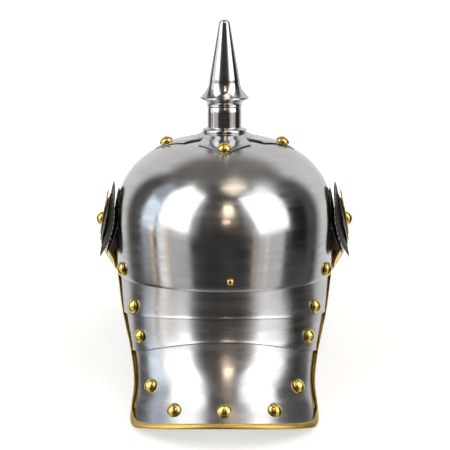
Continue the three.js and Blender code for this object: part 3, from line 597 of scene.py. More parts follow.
class Effect:
    """A shader node group with named inputs and outputs, built once for all finishes."""

    title = "effect"
    takes: tuple[tuple[str, Socket, float], ...] = ()
    gives: tuple[tuple[str, Socket], ...] = ()

    def __init__(self) -> None:
        """Makes the group and fills it."""
        self.tree = bpy.data.node_groups.new(self.title, "ShaderNodeTree")
        for name, kind, usual in self.takes:
            socket = self.tree.interface.new_socket(name, in_out="INPUT", socket_type=kind.value)
            if kind is Socket.VALUE:
                socket.default_value = usual
        for name, kind in self.gives:
            self.tree.interface.new_socket(name, in_out="OUTPUT", socket_type=kind.value)
        entry = self.tree.nodes.new("NodeGroupInput")
        leave = self.tree.nodes.new("NodeGroupOutput")
        self.fill(entry.outputs, leave)

    def fill(self, entry: Wires, leave: Node) -> None:
        """Builds the nodes between the group's inputs and its output node."""
        raise NotImplementedError

    def give(self, name: str, source: Wire, leave: Node) -> None:
        """Joins a source to one of the group's outputs."""
        self.tree.links.new(source, leave.inputs[name])

    def use(self, tree: Tree, **inputs: object) -> Node:
        """Places the effect in a material with that material's own values."""
        made = tree.nodes.new("ShaderNodeGroup")
        made.node_tree = self.tree
        for key, value in inputs.items():
            name = key.replace("_", " ")
            if isinstance(value, Wire):
                tree.links.new(value, made.inputs[name])
            else:
                made.inputs[name].default_value = value
        return made


class HelmetPlace(Effect):
    """The place on the helmet, upright along its own spike, in metres."""

    title = "helmet place"
    takes = (("Lean", Socket.VALUE, 0.3),)
    gives = (("Place", Socket.VECTOR),)

    def fill(self, entry: Wires, leave: Node) -> None:
        """Turns the object's coordinates back by the helmet's lean."""
        own = node(self.tree, "TexCoord")
        back = calc(self.tree, "MULTIPLY", entry["Lean"], -1.0)
        turned = node(
            self.tree, "VectorRotate",
            {"Vector": own.outputs["Object"], "Angle": back.outputs[0]},
            rotation_type="X_AXIS",
        )
        self.give("Place", turned.outputs[0], leave)


class BrushedGrain(Effect):
    """Fine lines that run round the helmet, left by polishing."""

    title = "brushed grain"
    takes = (
        ("Place", Socket.VECTOR, 0),
        ("Along", Socket.VALUE, 40.0),
        ("Across", Socket.VALUE, 1500.0),
    )
    gives = (("Height", Socket.VALUE), ("Streaks", Socket.VALUE))

    def fill(self, entry: Wires, leave: Node) -> None:
        """Stretches two noises along the brushing."""
        scale = node(self.tree, "CombineXYZ", {
            0: entry["Along"], 1: entry["Along"], 2: entry["Across"],
        })
        fine = node(
            self.tree, "VectorMath", {0: entry["Place"], 1: scale.outputs[0]}, operation="MULTIPLY"
        )
        lines = node(self.tree, "TexNoise", {
            "Vector": fine.outputs[0], "Scale": 1.0, "Detail": 3.0, "Roughness": 0.6,
        })
        wide = node(
            self.tree, "VectorMath", {0: fine.outputs[0], 1: (0.35, 0.35, 0.12)},
            operation="MULTIPLY",
        )
        streaks = node(self.tree, "TexNoise", {
            "Vector": wide.outputs[0], "Scale": 1.0, "Detail": 2.0, "Roughness": 0.5,
        })
        self.give("Height", lines.outputs["Fac"], leave)
        self.give("Streaks", streaks.outputs["Fac"], leave)


class FineScratches(Effect):
    """Short thin scratches in two slanting directions."""

    title = "fine scratches"
    takes = (
        ("Place", Socket.VECTOR, 0),
        ("Scale", Socket.VALUE, 60.0),
        ("Width", Socket.VALUE, 0.006),
        ("Amount", Socket.VALUE, 0.5),
    )
    gives = (("Mask", Socket.VALUE),)

    def fill(self, entry: Wires, leave: Node) -> None:
        """Keeps thin contour lines of stretched noise, broken up by patches."""
        layers = []
        for turn, stretch in (
            (0.5, (9.0, 0.7, 1.0)), (-0.9, (1.0, 8.0, 0.6)), (2.1, (0.8, 1.0, 9.0)),
        ):
            tilted = node(self.tree, "Mapping", {
                "Vector": entry["Place"], "Rotation": (turn, turn * 0.6, turn * 1.7),
                "Scale": stretch,
            })
            noise = node(self.tree, "TexNoise", {
                "Vector": tilted.outputs[0], "Scale": entry["Scale"], "Detail": 1.0,
                "Distortion": 0.3,
            })
            off = calc(self.tree, "SUBTRACT", noise.outputs["Fac"], 0.5)
            away = calc(self.tree, "ABSOLUTE", off.outputs[0])
            line = node(self.tree, "MapRange", {
                "Value": away.outputs[0], "From Min": entry["Width"], "From Max": 0.0,
                "To Min": 0.0, "To Max": 1.0,
            })
            layers.append(line.outputs[0])
        first = calc(self.tree, "MAXIMUM", layers[0], layers[1])
        both = calc(self.tree, "MAXIMUM", first.outputs[0], layers[2])
        patches = node(self.tree, "TexNoise", {
            "Vector": entry["Place"], "Scale": 55.0, "Detail": 2.0,
        })
        where = node(self.tree, "MapRange", {
            "Value": patches.outputs["Fac"], "From Min": 0.52, "From Max": 0.68,
        })
        kept = calc(self.tree, "MULTIPLY", both.outputs[0], where.outputs[0])
        share = calc(self.tree, "MULTIPLY", kept.outputs[0], entry["Amount"])
        self.give("Mask", share.outputs[0], leave)


class Haze(Effect):
    """Soft patches where a surface is a little duller, from handling and polish."""

    title = "haze"
    takes = (
        ("Place", Socket.VECTOR, 0),
        ("Scale", Socket.VALUE, 18.0),
        ("Low", Socket.VALUE, 0.2),
        ("High", Socket.VALUE, 0.3),
    )
    gives = (("Value", Socket.VALUE), ("Mask", Socket.VALUE))

    def fill(self, entry: Wires, leave: Node) -> None:
        """Spreads a noise between the low and the high value."""
        noise = node(self.tree, "TexNoise", {
            "Vector": entry["Place"], "Scale": entry["Scale"], "Detail": 4.0, "Roughness": 0.55,
            "Distortion": 0.4,
        })
        mask = node(self.tree, "MapRange", {
            "Value": noise.outputs["Fac"], "From Min": 0.35, "From Max": 0.68,
        })
        value = node(self.tree, "MapRange", {
            "Value": mask.outputs[0], "To Min": entry["Low"], "To Max": entry["High"],
        })
        self.give("Value", value.outputs[0], leave)
        self.give("Mask", mask.outputs[0], leave)


class EdgeWearAndHollowShade(Effect):
    """Edges rubbed bright, and hollows and inner corners darkened: real grime together with
    painted shade.
    """

    title = "edge wear and hollow shade"
    takes = (("Place", Socket.VECTOR, 0), ("Reach", Socket.VALUE, 0.06))
    gives = (("Worn", Socket.VALUE), ("Grime And Shade", Socket.VALUE))

    def fill(self, entry: Wires, leave: Node) -> None:
        """Reads how far the surface bulges, with a little noise to break the edge."""
        shape = node(self.tree, "NewGeometry")
        noise = node(self.tree, "TexNoise", {
            "Vector": entry["Place"], "Scale": 350.0, "Detail": 3.0,
        })
        ragged = node(self.tree, "MapRange", {
            "Value": noise.outputs["Fac"], "To Min": -0.02, "To Max": 0.02,
        })
        bulge = calc(self.tree, "ADD", shape.outputs["Pointiness"], ragged.outputs[0])
        top = calc(self.tree, "ADD", 0.52, entry["Reach"])
        low = calc(self.tree, "SUBTRACT", 0.48, entry["Reach"])
        worn = node(self.tree, "MapRange", {
            "Value": bulge.outputs[0], "From Min": 0.52, "From Max": top.outputs[0],
        })
        # Hollows and inner corners get a mask that darkens the finish there: grime and painted
        # shade in the creases.
        grime_and_shade = node(self.tree, "MapRange", {
            "Value": bulge.outputs[0], "From Min": 0.48, "From Max": low.outputs[0],
        })
        self.give("Worn", worn.outputs[0], leave)
        self.give("Grime And Shade", grime_and_shade.outputs[0], leave)


@dataclass
class Effects:
    """All the shared effects, built once."""

    place: HelmetPlace = field(default_factory=HelmetPlace)
    grain: BrushedGrain = field(default_factory=BrushedGrain)
    scratches: FineScratches = field(default_factory=FineScratches)
    haze: Haze = field(default_factory=Haze)
    wear: EdgeWearAndHollowShade = field(default_factory=EdgeWearAndHollowShade)


# Finishes


class Slot(Enum):
    """The kinds of material that the finishes belong to."""

    STEEL = "steel"
    BRASS = "brass"
    BLACK = "black_paint"
    SILVER = "silver_paint"
    LEATHER = "leather"


Colour = tuple[float, float, float]


def mixed(
    tree: Tree,
    share: Wire,
    first: Colour | Wire,
    second: Colour | Wire,
) -> Wire:
    """Mixes two colours by a share that changes over the surface."""
    mix = node(tree, "Mix", {"Factor": share}, data_type="RGBA")
    for key, value in ((6, first), (7, second)):
        if isinstance(value, Wire):
            tree.links.new(value, mix.inputs[key])
        else:
            mix.inputs[key].default_value = (*value, 1.0)
    return mix.outputs[2]


@dataclass(frozen=True)
class Bench:
    """A material in the making: its tree, its shader, the place on the helmet and the effects."""

    tree: Tree
    shader: Node
    place: Wire
    effects: Effects


@dataclass(frozen=True)
class Finish:
    """What every finish has: its name, its slot and its main colour."""

    name: str
    slot: Slot
    colour: Colour
    lean: float = Stance().lean

    def material(self, effects: Effects) -> bpy.types.Material:
        """Builds the material.

        Args:
            effects: The shared effects.

        Returns:
            The finished material.
        """
        made = bpy.data.materials.new(self.name)
        made.use_nodes = True
        tree = made.node_tree
        tree.nodes.clear()
        shader = node(tree, "BsdfPrincipled")
        output = node(tree, "OutputMaterial", {"Surface": shader.outputs[0]})
        output.is_active_output = True
        place = effects.place.use(tree, Lean=self.lean).outputs["Place"]
        self.dress(Bench(tree, shader, place, effects))
        return made

    def dress(self, bench: Bench) -> None:
        """Joins the finish's effects to its shader."""
        raise NotImplementedError

    def bumped(
        self,
        tree: Tree,
        shader: Node,
        layers: list[tuple[Wire, float]],
    ) -> None:
        """Feeds the shader's normal from a chain of bumps.

        Args:
            tree: The material's tree.
            shader: The shader.
            layers: For each bump its height and its depth in millimetres.
        """
        last = None
        for height, depth in layers:
            bump = node(tree, "Bump", {"Height": height, "Distance": depth * MM, "Strength": 1.0})
            if last is not None:
                tree.links.new(last, bump.inputs["Normal"])
            last = bump.outputs["Normal"]
        if last is not None:
            tree.links.new(last, shader.inputs["Normal"])


@dataclass(frozen=True)
class SteelFinish(Finish):
    """Polished steel with a faint brushing that runs round the helmet."""

    slot: Slot = Slot.STEEL
    colour: Colour = (0.60, 0.60, 0.61)
    dull: Colour = (0.47, 0.465, 0.46)
    smoothness: tuple[float, float] = (0.15, 0.22)
    anisotropy: float = 0.55
    grain_depth: float = 0.0035
    ripple_depth: float = 0.12
    ripple_scale: float = 26.0
    scratch_depth: float = 0.0012
    across: float = 1500.0

    def dress(self, bench: Bench) -> None:
        """Joins brushing, scratches, haze, worn edges, grime with painted shade in the hollows,
        and a slightly uneven surface.
        """
        tree, shader, place, effects = bench.tree, bench.shader, bench.place, bench.effects
        grain = effects.grain.use(tree, Place=place, Along=30.0, Across=self.across)
        scratch = effects.scratches.use(tree, Place=place, Scale=45.0, Width=0.003, Amount=0.3)
        haze = effects.haze.use(
            tree, Place=place, Scale=16.0, Low=self.smoothness[0], High=self.smoothness[1]
        )
        wear = effects.wear.use(tree, Place=place, Reach=0.08)
        streak = node(tree, "MapRange", {
            "Value": grain.outputs["Streaks"], "From Min": 0.35, "From Max": 0.65,
            "To Min": -0.035, "To Max": 0.045,
        })
        rough = calc(tree, "ADD", haze.outputs["Value"], streak.outputs[0])
        duller = calc(tree, "MULTIPLY_ADD", scratch.outputs["Mask"], 0.12, rough.outputs[0])
        tree.links.new(duller.outputs[0], shader.inputs["Roughness"])
        tone = node(tree, "MapRange", {
            "Value": grain.outputs["Streaks"], "From Min": 0.3, "From Max": 0.7,
            "To Min": 0.0, "To Max": 0.35,
        })
        patch = calc(tree, "MULTIPLY_ADD", haze.outputs["Mask"], 0.25, tone.outputs[0])
        base = mixed(tree, patch.outputs[0], self.colour, self.dull)
        # Hollows and inner corners go near black: grime and painted shade in the creases.
        grimed_and_shaded = mixed(tree, wear.outputs["Grime And Shade"], base, (0.09, 0.085, 0.08))
        worn = mixed(tree, wear.outputs["Worn"], grimed_and_shaded, (0.78, 0.78, 0.78))
        tree.links.new(worn, shader.inputs["Base Color"])
        shader.inputs["Metallic"].default_value = 1.0
        shader.inputs["Anisotropic"].default_value = self.anisotropy
        shader.inputs["Anisotropic Rotation"].default_value = 0.25
        ripple = node(tree, "TexNoise", {
            "Vector": place, "Scale": self.ripple_scale, "Detail": 1.5, "Roughness": 0.4,
        })
        self.bumped(tree, shader, [
            (ripple.outputs["Fac"], self.ripple_depth),
            (grain.outputs["Height"], self.grain_depth),
            (scratch.outputs["Mask"], -self.scratch_depth),
        ])


@dataclass(frozen=True)
class BrassFinish(Finish):
    """Polished brass with darker, redder patches where it has toned."""

    slot: Slot = Slot.BRASS
    colour: Colour = (0.84, 0.66, 0.19)
    toned: Colour = (0.5, 0.34, 0.07)
    smoothness: tuple[float, float] = (0.14, 0.3)
    toning: float = 0.5
    ripple_depth: float = 0.05
    ripple_scale: float = 120.0

    def dress(self, bench: Bench) -> None:
        """Joins toning, wear, grime with painted shade in the hollows, scratches and a slightly
        uneven surface.
        """
        tree, shader, place, effects = bench.tree, bench.shader, bench.place, bench.effects
        haze = effects.haze.use(
            tree, Place=place, Scale=60.0, Low=self.smoothness[0], High=self.smoothness[1]
        )
        toning = effects.haze.use(tree, Place=place, Scale=32.0, Low=0.0, High=self.toning)
        scratch = effects.scratches.use(tree, Place=place, Scale=90.0, Width=0.008, Amount=0.9)
        wear = effects.wear.use(tree, Place=place, Reach=0.1)
        base = mixed(tree, toning.outputs["Value"], self.colour, self.toned)
        # Hollows go dark brown: polish grime and painted shade in the creases.
        grimed_and_shaded = mixed(tree, wear.outputs["Grime And Shade"], base, (0.07, 0.035, 0.01))
        worn = mixed(tree, wear.outputs["Worn"], grimed_and_shaded, (0.9, 0.7, 0.32))
        tree.links.new(worn, shader.inputs["Base Color"])
        duller = calc(tree, "MULTIPLY_ADD", scratch.outputs["Mask"], 0.15, haze.outputs["Value"])
        tree.links.new(duller.outputs[0], shader.inputs["Roughness"])
        shader.inputs["Metallic"].default_value = 1.0
        ripple = node(tree, "TexNoise", {
            "Vector": place, "Scale": self.ripple_scale, "Detail": 2.0, "Roughness": 0.5,
        })
        self.bumped(tree, shader, [
            (ripple.outputs["Fac"], self.ripple_depth),
            (scratch.outputs["Mask"], -0.006),
        ])


@dataclass(frozen=True)
class LacquerFinish(Finish):
    """Lacquer on stamped metal, rubbed through at its edges."""

    bare: Colour = (0.42, 0.42, 0.4)
    smoothness: tuple[float, float] = (0.18, 0.34)
    metal: float = 0.0
    coat: float = 0.4
    wear_reach: float = 0.08

    def dress(self, bench: Bench) -> None:
        """Joins the lacquer's haze, its worn edges and a faint orange peel."""
        tree, shader, place, effects = bench.tree, bench.shader, bench.place, bench.effects
        haze = effects.haze.use(
            tree, Place=place, Scale=110.0, Low=self.smoothness[0], High=self.smoothness[1]
        )
        wear = effects.wear.use(tree, Place=place, Reach=self.wear_reach)
        dusty = calc(tree, "MULTIPLY", haze.outputs["Mask"], 0.05)
        tinted = mixed(tree, dusty.outputs[0], self.colour, (0.12, 0.12, 0.12))
        worn = mixed(tree, wear.outputs["Worn"], tinted, self.bare)
        tree.links.new(worn, shader.inputs["Base Color"])
        tree.links.new(haze.outputs["Value"], shader.inputs["Roughness"])
        shader.inputs["Metallic"].default_value = self.metal
        shader.inputs["Coat Weight"].default_value = self.coat
        shader.inputs["Coat Roughness"].default_value = 0.12
        peel = node(tree, "TexNoise", {"Vector": place, "Scale": 900.0, "Detail": 2.0})
        self.bumped(tree, shader, [(peel.outputs["Fac"], 0.02)])


@dataclass(frozen=True)
class LeatherFinish(Finish):
    """Dark waxed strap leather with a pebbled grain."""

    slot: Slot = Slot.LEATHER
    colour: Colour = (0.03, 0.021, 0.015)

    def dress(self, bench: Bench) -> None:
        """Joins pebbled grain, creases and rubbed edges."""
        tree, shader, place, effects = bench.tree, bench.shader, bench.place, bench.effects
        haze = effects.haze.use(tree, Place=place, Scale=80.0, Low=0.42, High=0.62)
        wear = effects.wear.use(tree, Place=place, Reach=0.06)
        pebble = node(tree, "TexVoronoi", {"Vector": place, "Scale": 1100.0})
        tinted = mixed(tree, haze.outputs["Mask"], self.colour, (0.055, 0.036, 0.024))
        worn = mixed(tree, wear.outputs["Worn"], tinted, (0.13, 0.08, 0.05))
        tree.links.new(worn, shader.inputs["Base Color"])
        tree.links.new(haze.outputs["Value"], shader.inputs["Roughness"])
        self.bumped(tree, shader, [(pebble.outputs["Distance"], 0.12)])


class Kit:
    """The helmet's finishes, and the bench where its pieces are dressed."""

    def __init__(self, stance: Stance) -> None:
        """Builds the effects and the materials.

        Args:
            stance: How the helmet stands.
        """
        self.stance = stance
        effects = Effects()
        finishes = {
            "steel": SteelFinish("polished steel", Slot.STEEL),
            "lame": SteelFinish(
                "brushed steel plates", Slot.STEEL, grain_depth=0.006, across=1100.0,
                smoothness=(0.2, 0.3),
            ),
            "spike": SteelFinish(
                "turned steel", Slot.STEEL, smoothness=(0.1, 0.17), anisotropy=0.35,
                ripple_depth=0.015, grain_depth=0.0025, across=2600.0,
            ),
            "brass": BrassFinish("polished brass", Slot.BRASS, toning=0.35),
            "edging": BrassFinish(
                "toned brass edging", Slot.BRASS, colour=(0.80, 0.56, 0.17), toning=0.6,
                smoothness=(0.32, 0.48), ripple_depth=0.12,
            ),
            "black": LacquerFinish(
                "black lacquer", Slot.BLACK, (0.006, 0.006, 0.0065), wear_reach=0.1,
                smoothness=(0.42, 0.6), coat=0.08,
            ),
            "silver": LacquerFinish(
                "silver white", Slot.SILVER, (0.72, 0.72, 0.7), bare=(0.5, 0.48, 0.44),
                metal=0.6, smoothness=(0.25, 0.4), coat=0.1,
            ),
            "leather": LeatherFinish("strap leather", Slot.LEATHER),
        }
        self.finishes = finishes
        self.materials = {key: finish.material(effects) for key, finish in finishes.items()}

    def dress(self, piece: Piece, finish: str, *nodes: str) -> Piece:
        """Gives a piece its finish and says which solids it stands for.

        Args:
            piece: The object.
            finish: The finish's key.
            nodes: The solids that it replaces.

        Returns:
            The same object.
        """
        piece.data.materials.clear()
        piece.data.materials.append(self.materials[finish])
        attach(piece, "root")
        if nodes:
            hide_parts(*nodes)
        LOG.info("%s: %d faces, %s", piece.name, len(piece.data.polygons), finish)
        return piece


# The helmet's sub-assemblies


@dataclass(frozen=True)
class Skull:
    """The steel bowl."""

    form: SkullForm = SkullForm()
    fits: SheetFits = SheetFits()
    columns: int = 216
    lower_rows: int = 14
    upper_rows: int = 56

    def build(self, kit: Kit) -> None:
        """Makes and dresses the bowl."""
        lower = np.linspace(-1, 0, self.lower_rows + 1)[:-1]
        upper = np.linspace(0, 0.985, self.upper_rows)
        climb = np.concatenate((lower, upper))[:, None]
        angle = np.linspace(0, 2 * math.pi, self.columns, endpoint=False)[None, :]
        sheet = self.fits.sheet
        outer = self.form.at(angle, climb, 0.0)
        inner = self.form.at(angle, climb, -sheet)
        apex = self.form.apex_level
        poles = np.array([[0, 0, apex], [0, 0, apex - sheet]], float)
        place = kit.stance.place
        piece = sheet_object("bowl", place(outer), place(inner), wrap=True, poles=place(poles))
        kit.dress(rounded(piece, 0.28), "steel", "skull")


@dataclass(frozen=True)
class CrossPlate:
    """The plate under the spike: four sharp arms with a notch between each two."""

    form: SkullForm = SkullForm()
    fits: SheetFits = SheetFits()
    arm: float = 64.5
    shoulder_out: float = 37.0
    shoulder_half_width: float = 24.3
    notch_reach: float = 29.0
    side_hollow: float = 0.9
    flatness: float = 230.0
    boss: float = 2.2
    boss_from: float = 31.0
    boss_to: float = 20.0
    curl: float = 0.1
    hem: float = 0.6
    side_steps: int = 16
    notch_steps: int = 5
    rows: int = 22

    def outline(self) -> Points:
        """Returns the outline in plan, once round."""
        tip = np.array([self.arm, 0.0])
        shoulder = np.array([self.shoulder_out, self.shoulder_half_width])
        notch = np.array([1.0, 1.0]) * self.notch_reach * math.sqrt(0.5)
        share = np.linspace(0, 1, self.side_steps + 1)[:, None]
        side = tip + (shoulder - tip) * share
        side[:, 1] -= self.side_hollow * np.sin(math.pi * share[:, 0])
        inner = shoulder + (notch - shoulder) * np.linspace(0, 1, self.notch_steps + 1)[1:, None]
        half = np.concatenate((side, inner))
        quarter = np.concatenate((half, half[-2:0:-1, ::-1]))
        turned = []
        for turns in range(4):
            angle = turns * math.pi / 2
            across, ahead = math.cos(angle), math.sin(angle)
            turned.append(quarter @ np.array([[across, ahead], [-ahead, across]]))
        return np.concatenate(turned)

    def build(self, kit: Kit) -> None:
        """Makes the plate on the bowl, standing a little off it at the notches."""
        outline = self.outline()
        shares = np.concatenate((
            np.linspace(1, 0.9, 5)[:-1], np.linspace(0.9, 0.06, self.rows)
        ))[:, None, None]
        plan = outline[None] * shares
        angle, climb = self.form.above(plan[..., 0], plan[..., 1])
        across = np.min(np.abs(plan), axis=-1)
        lift = across**2 * self.curl / self.flatness
        inward = -np.hypot(plan[..., 0], plan[..., 1])
        lift += self.boss * smooth(inward, -self.boss_from, -self.boss_to)
        gap = self.fits.fit_gap + lift
        sheet = self.fits.sheet - self.hem * smooth(shares[..., 0], 0.9, 1.0)
        outer = self.form.at(angle, climb, gap + sheet)
        inner = self.form.at(angle, climb, gap)
        apex = self.form.apex_level + self.fits.fit_gap + self.boss
        poles = np.array([[0, 0, apex + self.fits.sheet], [0, 0, apex]], float)
        place = kit.stance.place
        piece = sheet_object(
            "star_plate", place(outer), place(inner), wrap=True, poles=place(poles)
        )
        kit.dress(rounded(piece, 0.22), "steel", "cross_plate")


@dataclass(frozen=True)
class Spike:
    """The turned spike and the collar that it stands in."""

    form: SkullForm = SkullForm()
    fits: SheetFits = SheetFits()
    neck_radius: float = 15.8
    neck_height: float = 20.0
    ring_radius: float = 20.6
    ring_thickness: float = 5.4
    foot_drop: float = 0.8
    height: float = 80.0
    flange_radius: float = 22.8
    flange_level: float = 7.2
    flange_lip: float = 1.4
    cone_foot_radius: float = 14.2
    cone_foot_level: float = 24.0
    tip_radius: float = 5.2
    tip_round: float = 3.8
    seam_lip: float = 0.5
    seam_height: float = 1.4
    stud_radius: float = 5.0
    stud_length: float = 14.0
    sides: int = 128

    def neck_profile(self) -> Points:
        """Returns the collar's profile from its foot to the bore."""
        half = self.ring_thickness / 2
        turn = np.linspace(-math.pi / 2, math.pi / 2, 17)
        bead = np.stack((
            self.ring_radius - half + half * np.cos(turn), half + half * np.sin(turn)
        ), axis=-1)
        bead[:5, 1] -= np.linspace(self.foot_drop, 0, 5)
        share = np.linspace(0, 1, 7)[1:]
        cove_foot = np.stack((
            self.neck_radius + (self.ring_radius - half - self.neck_radius) * (1 - share) ** 2,
            self.ring_thickness + 1.4 * share**2,
        ), axis=-1)
        top = self.ring_thickness + self.neck_height
        bore = self.stud_radius + self.fits.fit_gap
        bottom = top - self.stud_length - self.fits.fit_gap
        tail = np.array([
            [self.neck_radius, top - 0.35],
            [self.neck_radius - 0.35, top],
            [bore, top],
            [bore, bottom],
        ])
        wall = np.array([
            [self.neck_radius, self.ring_thickness + 6.0],
            [self.neck_radius, top - 6.0],
        ])
        return np.concatenate((bead, cove_foot, wall, tail))

    def spike_profile(self) -> Points:
        """Returns the spike's profile from its stud to its tip."""
        stud = np.array([[self.stud_radius, -self.stud_length], [self.stud_radius, 0]])
        lip = self.neck_radius + self.seam_lip
        seam = np.array([[lip - 0.3, 0], [lip, 0.3], [lip, self.seam_height - 0.3],
                         [lip - 0.3, self.seam_height]])
        share = np.linspace(0, 1, 12)[1:-1]
        cove = np.stack((
            self.neck_radius + (self.flange_radius - self.neck_radius) * share**2,
            self.seam_height + (self.flange_level - self.seam_height) * share,
        ), axis=-1)
        edge = self.flange_radius
        flange = np.array([
            [edge - 0.25, self.flange_level - 0.1],
            [edge, self.flange_level + 0.35],
            [edge, self.flange_level + self.flange_lip - 0.35],
            [edge - 0.3, self.flange_level + self.flange_lip],
        ])
        up = np.linspace(0, 1, 22)[1:]
        start = self.flange_level + self.flange_lip
        flare = np.stack((
            self.cone_foot_radius + (edge - 0.3 - self.cone_foot_radius) * (1 - up) ** 2.1,
            start + (self.cone_foot_level - start) * up,
        ), axis=-1)
        climb = np.linspace(0, 1, 24)[1:]
        top = self.height - self.tip_round
        cone = np.stack((
            self.cone_foot_radius + (self.tip_radius - self.cone_foot_radius) * climb,
            self.cone_foot_level + (top - self.cone_foot_level) * climb,
        ), axis=-1)
        turn = np.linspace(0, math.pi / 2, 10)[1:-1]
        tip = np.stack((
            self.tip_radius * np.cos(turn), top + self.tip_round * np.sin(turn)
        ), axis=-1)
        end = np.array([[0.25, self.height]])
        return np.concatenate((stud, seam, cove, flange, flare, cone, tip, end))

    def build(self, kit: Kit) -> None:
        """Makes and dresses the collar and the spike."""
        foot = self.form.apex_level + 2 * self.fits.fit_gap + self.fits.sheet
        neck = turned_object(
            "collar", self.neck_profile(), self.sides, Carry(kit.stance, (0, 0, foot))
        )
        kit.dress(rounded(neck, 0, 50), "spike", "spike_neck")
        top = foot + self.ring_thickness + self.neck_height + self.fits.fit_gap
        spike = turned_object(
            "spike_turning", self.spike_profile(), self.sides, Carry(kit.stance, (0, 0, top))
        )
        kit.dress(rounded(spike, 0, 50), "spike", "spike")


def edging_section(lip: float, wall: float, gap: float, slot: float) -> Points:
    """Draws the rounded channel of the brass edging.

    Args:
        lip: How far its lips reach in over the sheet.
        wall: Its thickness.
        gap: The gap to the sheet.
        slot: The depth of the stack of sheets in it.

    Returns:
        Corners as pairs: outward past the edge, and along the face's outward direction.
    """
    out, fullness, overlap = gap + wall, 0.9, 0.7
    turn = np.linspace(math.pi / 2, -math.pi / 2, 15)
    middle, tall = -slot / 2, slot / 2 + out
    round_face = np.stack((
        (out + fullness) * np.cos(turn) - overlap, middle + tall * np.sin(turn)
    ), axis=-1)
    tip = np.linspace(-math.pi / 2, -3 * math.pi / 2, 5)
    low_tip = np.stack((-lip + wall / 2 * np.cos(tip) + wall / 2,
                        -slot - gap - wall / 2 + wall / 2 * np.sin(tip)), axis=-1)
    inside = np.array([[gap, -slot - gap], [gap, gap]])
    top_tip = np.stack((-lip + wall / 2 * np.cos(tip) + wall / 2,
                        gap + wall / 2 + wall / 2 * np.sin(tip)), axis=-1)
    return np.concatenate((round_face, low_tip, inside, top_tip))


def edging_object(
    name: str,
    points: Points,
    outward: Points,
    inside: Points,
    slots: Points,
    lips: Points,
    fits: SheetFits,
    stance: Stance,
) -> Piece:
    """Carries the brass channel along an edge.

    Args:
        name: The object's name.
        points: The edge's points.
        outward: The face's outward direction at each.
        inside: A point further in on the sheet for each.
        slots: The depth of the stack of sheets at each.
        lips: How far the lips reach in at each.
        fits: The gaps.
        stance: How the helmet stands.

    Returns:
        The linked object.
    """
    along = unit(np.gradient(points, axis=0))
    out = unit(np.cross(along, outward))
    facing = np.sum(out * (inside - points), axis=-1, keepdims=True)
    out = np.where(facing > 0, -out, out)
    sections = []
    for point, past, up, slot, lip in zip(points, out, outward, slots, lips):
        corners = edging_section(lip, 0.8, fits.fit_gap, slot)
        sections.append(point + corners[:, :1] * past + corners[:, 1:] * up)
    return swept_object(name, stance.place(np.array(sections)))


@dataclass(frozen=True)
class NeckGuard:
    """Two lames and the tail plate, with the brass edging round them."""

    form: GuardForm = GuardForm()
    fits: SheetFits = SheetFits()
    columns: int = 145
    tucked_rows: int = 6
    free_rows: int = 20
    tail_rows: int = 46
    corner_steps: int = 20
    trim_steps: int = 120
    trim_lip: float = 3.7
    corner_lip: float = 2.8
    corner_spread: float = 17.0
    trim_top: float = 0.02
    hem: float = 0.3
    hem_share: float = 0.022

    def plate(self, name: str, index: int, kit: Kit) -> Piece:
        """Makes one of the lames.

        Args:
            name: The object's name.
            index: 1 for the upper and 2 for the lower lame.
            kit: The finishes.

        Returns:
            The linked object.
        """
        form = self.form
        above, own = form.edges[index - 1], form.edges[index]
        start = above - self.fits.tuck / form.depth
        share = np.concatenate((
            np.linspace(start, above, self.tucked_rows + 1)[:-1],
            np.linspace(above, own - self.hem_share, self.free_rows)[:-1],
            np.linspace(own - self.hem_share, own, 5),
        ))[:, None]
        angle = np.linspace(-math.pi / 2, math.pi / 2, self.columns)[None, :]
        depth = form.depth_of(index, share) - self.hem * smooth(share, own - self.hem_share, own)
        outer = form.at(angle, share, -depth)
        inner = form.at(angle, share, -depth - self.fits.sheet)
        place = kit.stance.place
        return rounded(sheet_object(name, place(outer), place(inner)), 0.36)

    def tail(self, kit: Kit) -> Piece:
        """Makes the tail plate with its rounded corners."""
        form = self.form
        angle, ends = form.tail_edge(16, 112)
        above = form.edges[2]
        start = above - self.fits.tuck / form.depth
        tucked = np.linspace(start, above, self.tucked_rows + 1)[:-1, None]
        rise = np.linspace(0, 1, self.tail_rows + 1)[:, None]
        share = np.concatenate((
            np.broadcast_to(tucked, (len(tucked), len(angle))),
            above + (ends[None, :] - above) * rise,
        ))
        depth = form.depth_of(3, share)
        outer = form.at(angle[None, :], share, -depth)
        inner = form.at(angle[None, :], share, -depth - self.fits.sheet)
        place = kit.stance.place
        return rounded(sheet_object("tail", place(outer), place(inner)), 0.28)

    def edging(self, kit: Kit) -> Piece:
        """Makes the brass channel round the guard's free edge."""
        form = self.form
        angle, ends = form.tail_edge(self.corner_steps, self.trim_steps)
        side = np.linspace(self.trim_top, ends[0], 70)[:-1]
        straight = np.full_like(side, angle[0])
        angle = np.concatenate((straight, angle, -straight))
        share = np.concatenate((side, ends, side[::-1]))
        stack = 2 * self.fits.nest + self.fits.sheet
        single = self.fits.sheet + form.depth_of(3, np.maximum(share, form.edges[2]))
        mix = smooth(share, form.edges[2], form.edges[2] + 0.06)
        slots = stack + (single - stack) * mix
        edge = form.face(angle, share)
        walked = np.cumsum(np.linalg.norm(np.diff(edge, axis=0, prepend=edge[:1]), axis=1))
        corner = walked[len(side) + self.corner_steps // 2]
        from_corner = np.minimum(np.abs(walked - corner), np.abs(walked[-1] - walked - corner))
        lips = self.trim_lip + self.corner_lip * np.exp(-((from_corner / self.corner_spread) ** 2))
        return rounded(edging_object(
            "guard_edging", edge, form.outward(angle, share), form.face(angle * 0.8, share * 0.8),
            slots, lips, self.fits, kit.stance,
        ), 0, 60)

    def build(self, kit: Kit) -> None:
        """Makes and dresses the guard."""
        kit.dress(self.plate("upper_plate", 1, kit), "lame", "upper_lame")
        kit.dress(self.plate("lower_plate", 2, kit), "lame", "lower_lame")
        kit.dress(self.tail(kit), "lame", "tail_plate")
        kit.dress(self.edging(kit), "edging", "neck_trim")


